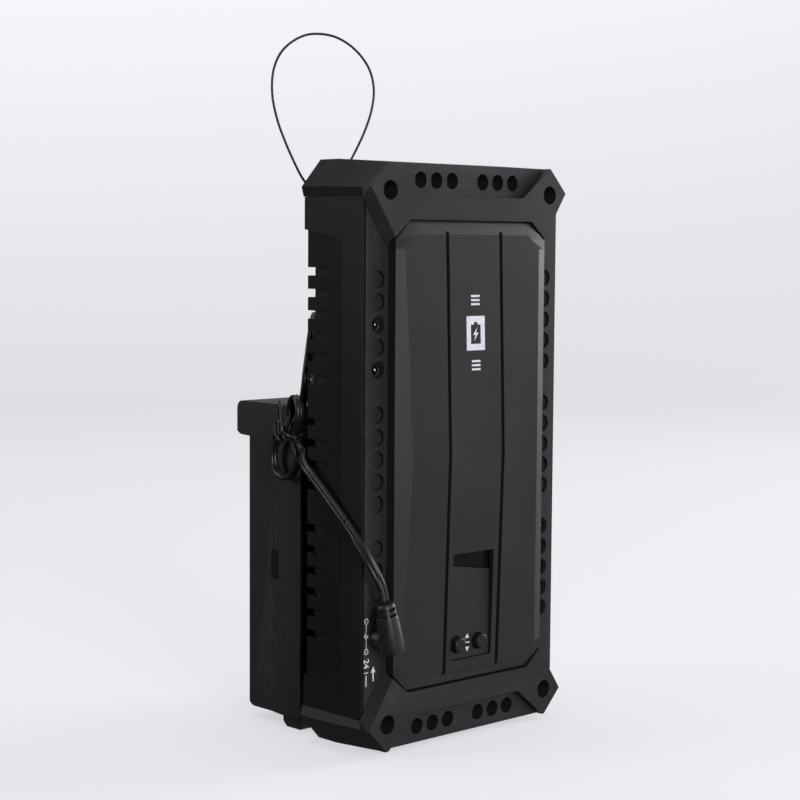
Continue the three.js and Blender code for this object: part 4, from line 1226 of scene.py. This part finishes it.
def add_strip_marks():
    """Raised place numbers by the left holes, and the input's printed polarity sign and voltage."""
    numbers = {2: "1", 4: "2", 7: "3", 9: "4", 12: "5", 14: "6"}
    for place, text in numbers.items():
        relief = number(text, -64.4, hole_z(place), 2.6, 1, 0.3)
        relief.name = f"place_number_{text}"
        finish_piece(relief, "box", PANEL)
    ring = circle(1.4, 32, (-64.3, 66.1))
    ring_hole = circle(1.05, 32, (-64.3, 66.1))
    lower = circle(1.4, 32, (-64.3, 51.4))
    lower_hole = circle(1.05, 32, (-64.3, 51.4))
    cup = arc((-64.3, 59.2), 1.35, 100, 350, 20) + arc((-64.3, 59.2), 0.95, 350, 100, 20)
    links = [
        rectangle((-64.45, -64.15), (60.6, 64.7)), rectangle((-64.45, -64.15), (52.8, 57.8)),
        rectangle((-64.95, -63.65), (65.95, 66.25)), rectangle((-64.95, -63.65), (51.25, 51.55)),
        circle(0.45, 16, (-64.3, 59.2)),
    ]
    rings = flat_mark("polarity_rings", [ring, lower], 0, [ring_hole, lower_hole])
    printed(joined([rings, flat_mark("links", links + [cup], 0)], "polarity_sign"))
    printed(number("24", -64.3, 45.6, 3.2, 1)).name = "input_voltage"
    bars = [rectangle((-65.6, -63.0), (40.9, 41.4)), rectangle((-64.6, -64.0), (34.5, 40.0))]
    printed(flat_mark("input_dashes", bars, 0))
    tip = [(-61.2, 40.8), (-58.2, 40.8), (-59.7, 43.8)]
    stem = rectangle((-60.1, -59.3), (36.6, 40.8))
    printed(flat_mark("input_arrow", [tip, stem], 0))


def add_button_marks():
    """Up and down arrowheads between the buttons."""
    middle = sum(BUTTON_X.values()) / 2
    up = [(middle - 1.5, BUTTON_Z + 2.2), (middle + 1.5, BUTTON_Z + 2.2), (middle, BUTTON_Z + 4.6)]
    down = [(middle - 1.5, BUTTON_Z - 2.2), (middle, BUTTON_Z - 4.6), (middle + 1.5, BUTTON_Z - 2.2)]
    bar = rectangle((middle - 1.6, middle + 1.6), (BUTTON_Z - 0.35, BUTTON_Z + 0.35))
    printed(flat_mark("button_arrows", [up, down, bar], CONTROL_FACE))


# ------------------------------------------------------------------ studio
FLOOR_RADIUS = 1900
WALL_RADIUS = 2900
WALL_HEIGHT = 3200
PAPER_TONE = 0.3
FLOOR_GLOW = 0.6
WALL_GLOW = 0.86
AIR_DIM = 0.04
AIR_BRIGHT = 0.4


def add_studio():
    """A pale bowl: flat floor that sweeps up into a round wall."""
    profile = [(0, 0), (FLOOR_RADIUS, 0)]
    sweep = WALL_RADIUS - FLOOR_RADIUS
    for i in range(1, 17):
        angle = pi / 2 * i / 16
        profile.append((FLOOR_RADIUS + sweep * sin(angle), sweep * (1 - cos(angle))))
    profile.append((WALL_RADIUS, WALL_HEIGHT))
    sides = 96
    vertices = [(0, 0, 0)]
    for radius, z in profile[1:]:
        vertices += [(px, py, z) for px, py in circle(radius, sides)]
    faces = [(0, 1 + i, 1 + (i + 1) % sides) for i in range(sides)]
    for level in range(len(profile) - 2):
        for i in range(sides):
            a = 1 + level * sides + i
            b = 1 + level * sides + (i + 1) % sides
            faces.append((a, b, b + sides, a + sides))
    bowl = smooth(mesh_object("studio_bowl", vertices, faces), 60)
    bowl.data.materials.append(studio_paper("pale_paper", PAPER_TONE, FLOOR_GLOW, WALL_GLOW))
    bowl.visible_glossy = False
    bowl.visible_diffuse = False
    bowl.visible_shadow = False


def add_softbox(name, place, target, size, power, tint=(1, 1, 1)):
    data = bpy.data.lights.new(name, "AREA")
    data.shape = "RECTANGLE"
    data.size = size[0] * MM
    data.size_y = size[1] * MM
    data.energy = power
    data.color = tint
    light = bpy.data.objects.new(name, data)
    light.location = row(place)
    light.rotation_euler = (row(target) - row(place)).to_track_quat("-Z", "Y").to_euler()
    bpy.context.scene.collection.objects.link(light)


def add_lights():
    middle = (0, 0, 150)
    add_softbox("key_right", (2000, -500, 700), middle, (900, 1300), 28)
    add_softbox("front_fill", (-600, -1900, 500), middle, (900, 1200), 28)
    add_softbox("rear_left_rim", (-1500, 1000, 800), middle, (500, 1100), 9)
    add_softbox("overhead", (-100, 500, 2400), middle, (1700, 1700), 18)
    add_studio_air()
    bpy.context.scene.view_settings.view_transform = "Standard"


def add_studio_air():
    """Soft light from all round, strongest from the front right; the backdrop itself stays even."""
    world = bpy.data.worlds.new("studio_air")
    world.use_nodes = True
    nodes = world.node_tree.nodes
    links = world.node_tree.links
    place = nodes.new("ShaderNodeTexCoord")
    towards_key = nodes.new("ShaderNodeVectorMath")
    towards_key.operation = "DOT_PRODUCT"
    towards_key.inputs[1].default_value = Vector((0.88, -0.35, 0.3)).normalized()
    links.new(place.outputs["Generated"], towards_key.inputs[0])
    strength = nodes.new("ShaderNodeMapRange")
    strength.interpolation_type = "SMOOTHSTEP"
    strength.inputs["From Min"].default_value = -0.5
    strength.inputs["From Max"].default_value = 1
    strength.inputs["To Min"].default_value = AIR_DIM
    strength.inputs["To Max"].default_value = AIR_BRIGHT
    links.new(towards_key.outputs["Value"], strength.inputs["Value"])
    background = nodes["Background"]
    background.inputs["Color"].default_value = (0.94, 0.94, 1, 1)
    links.new(strength.outputs["Result"], background.inputs["Strength"])
    bpy.context.scene.world = world


# ------------------------------------------------------------------ assembly
add_camera()
add_lead_tie()
add_pack_lead()
add_plug()
add_plug_lead()
add_hanging_wire()
add_front_cover()
add_bumpers()
add_corner_screws()
add_refined_mouldings()
paint_hidden_nodes()
add_control_plate()
add_display_lens()
add_buttons()
add_sockets()
add_gland()
add_eyelet()
add_ferrule()
add_panel_emblem()
add_strip_marks()
add_button_marks()
add_studio()
add_lights()
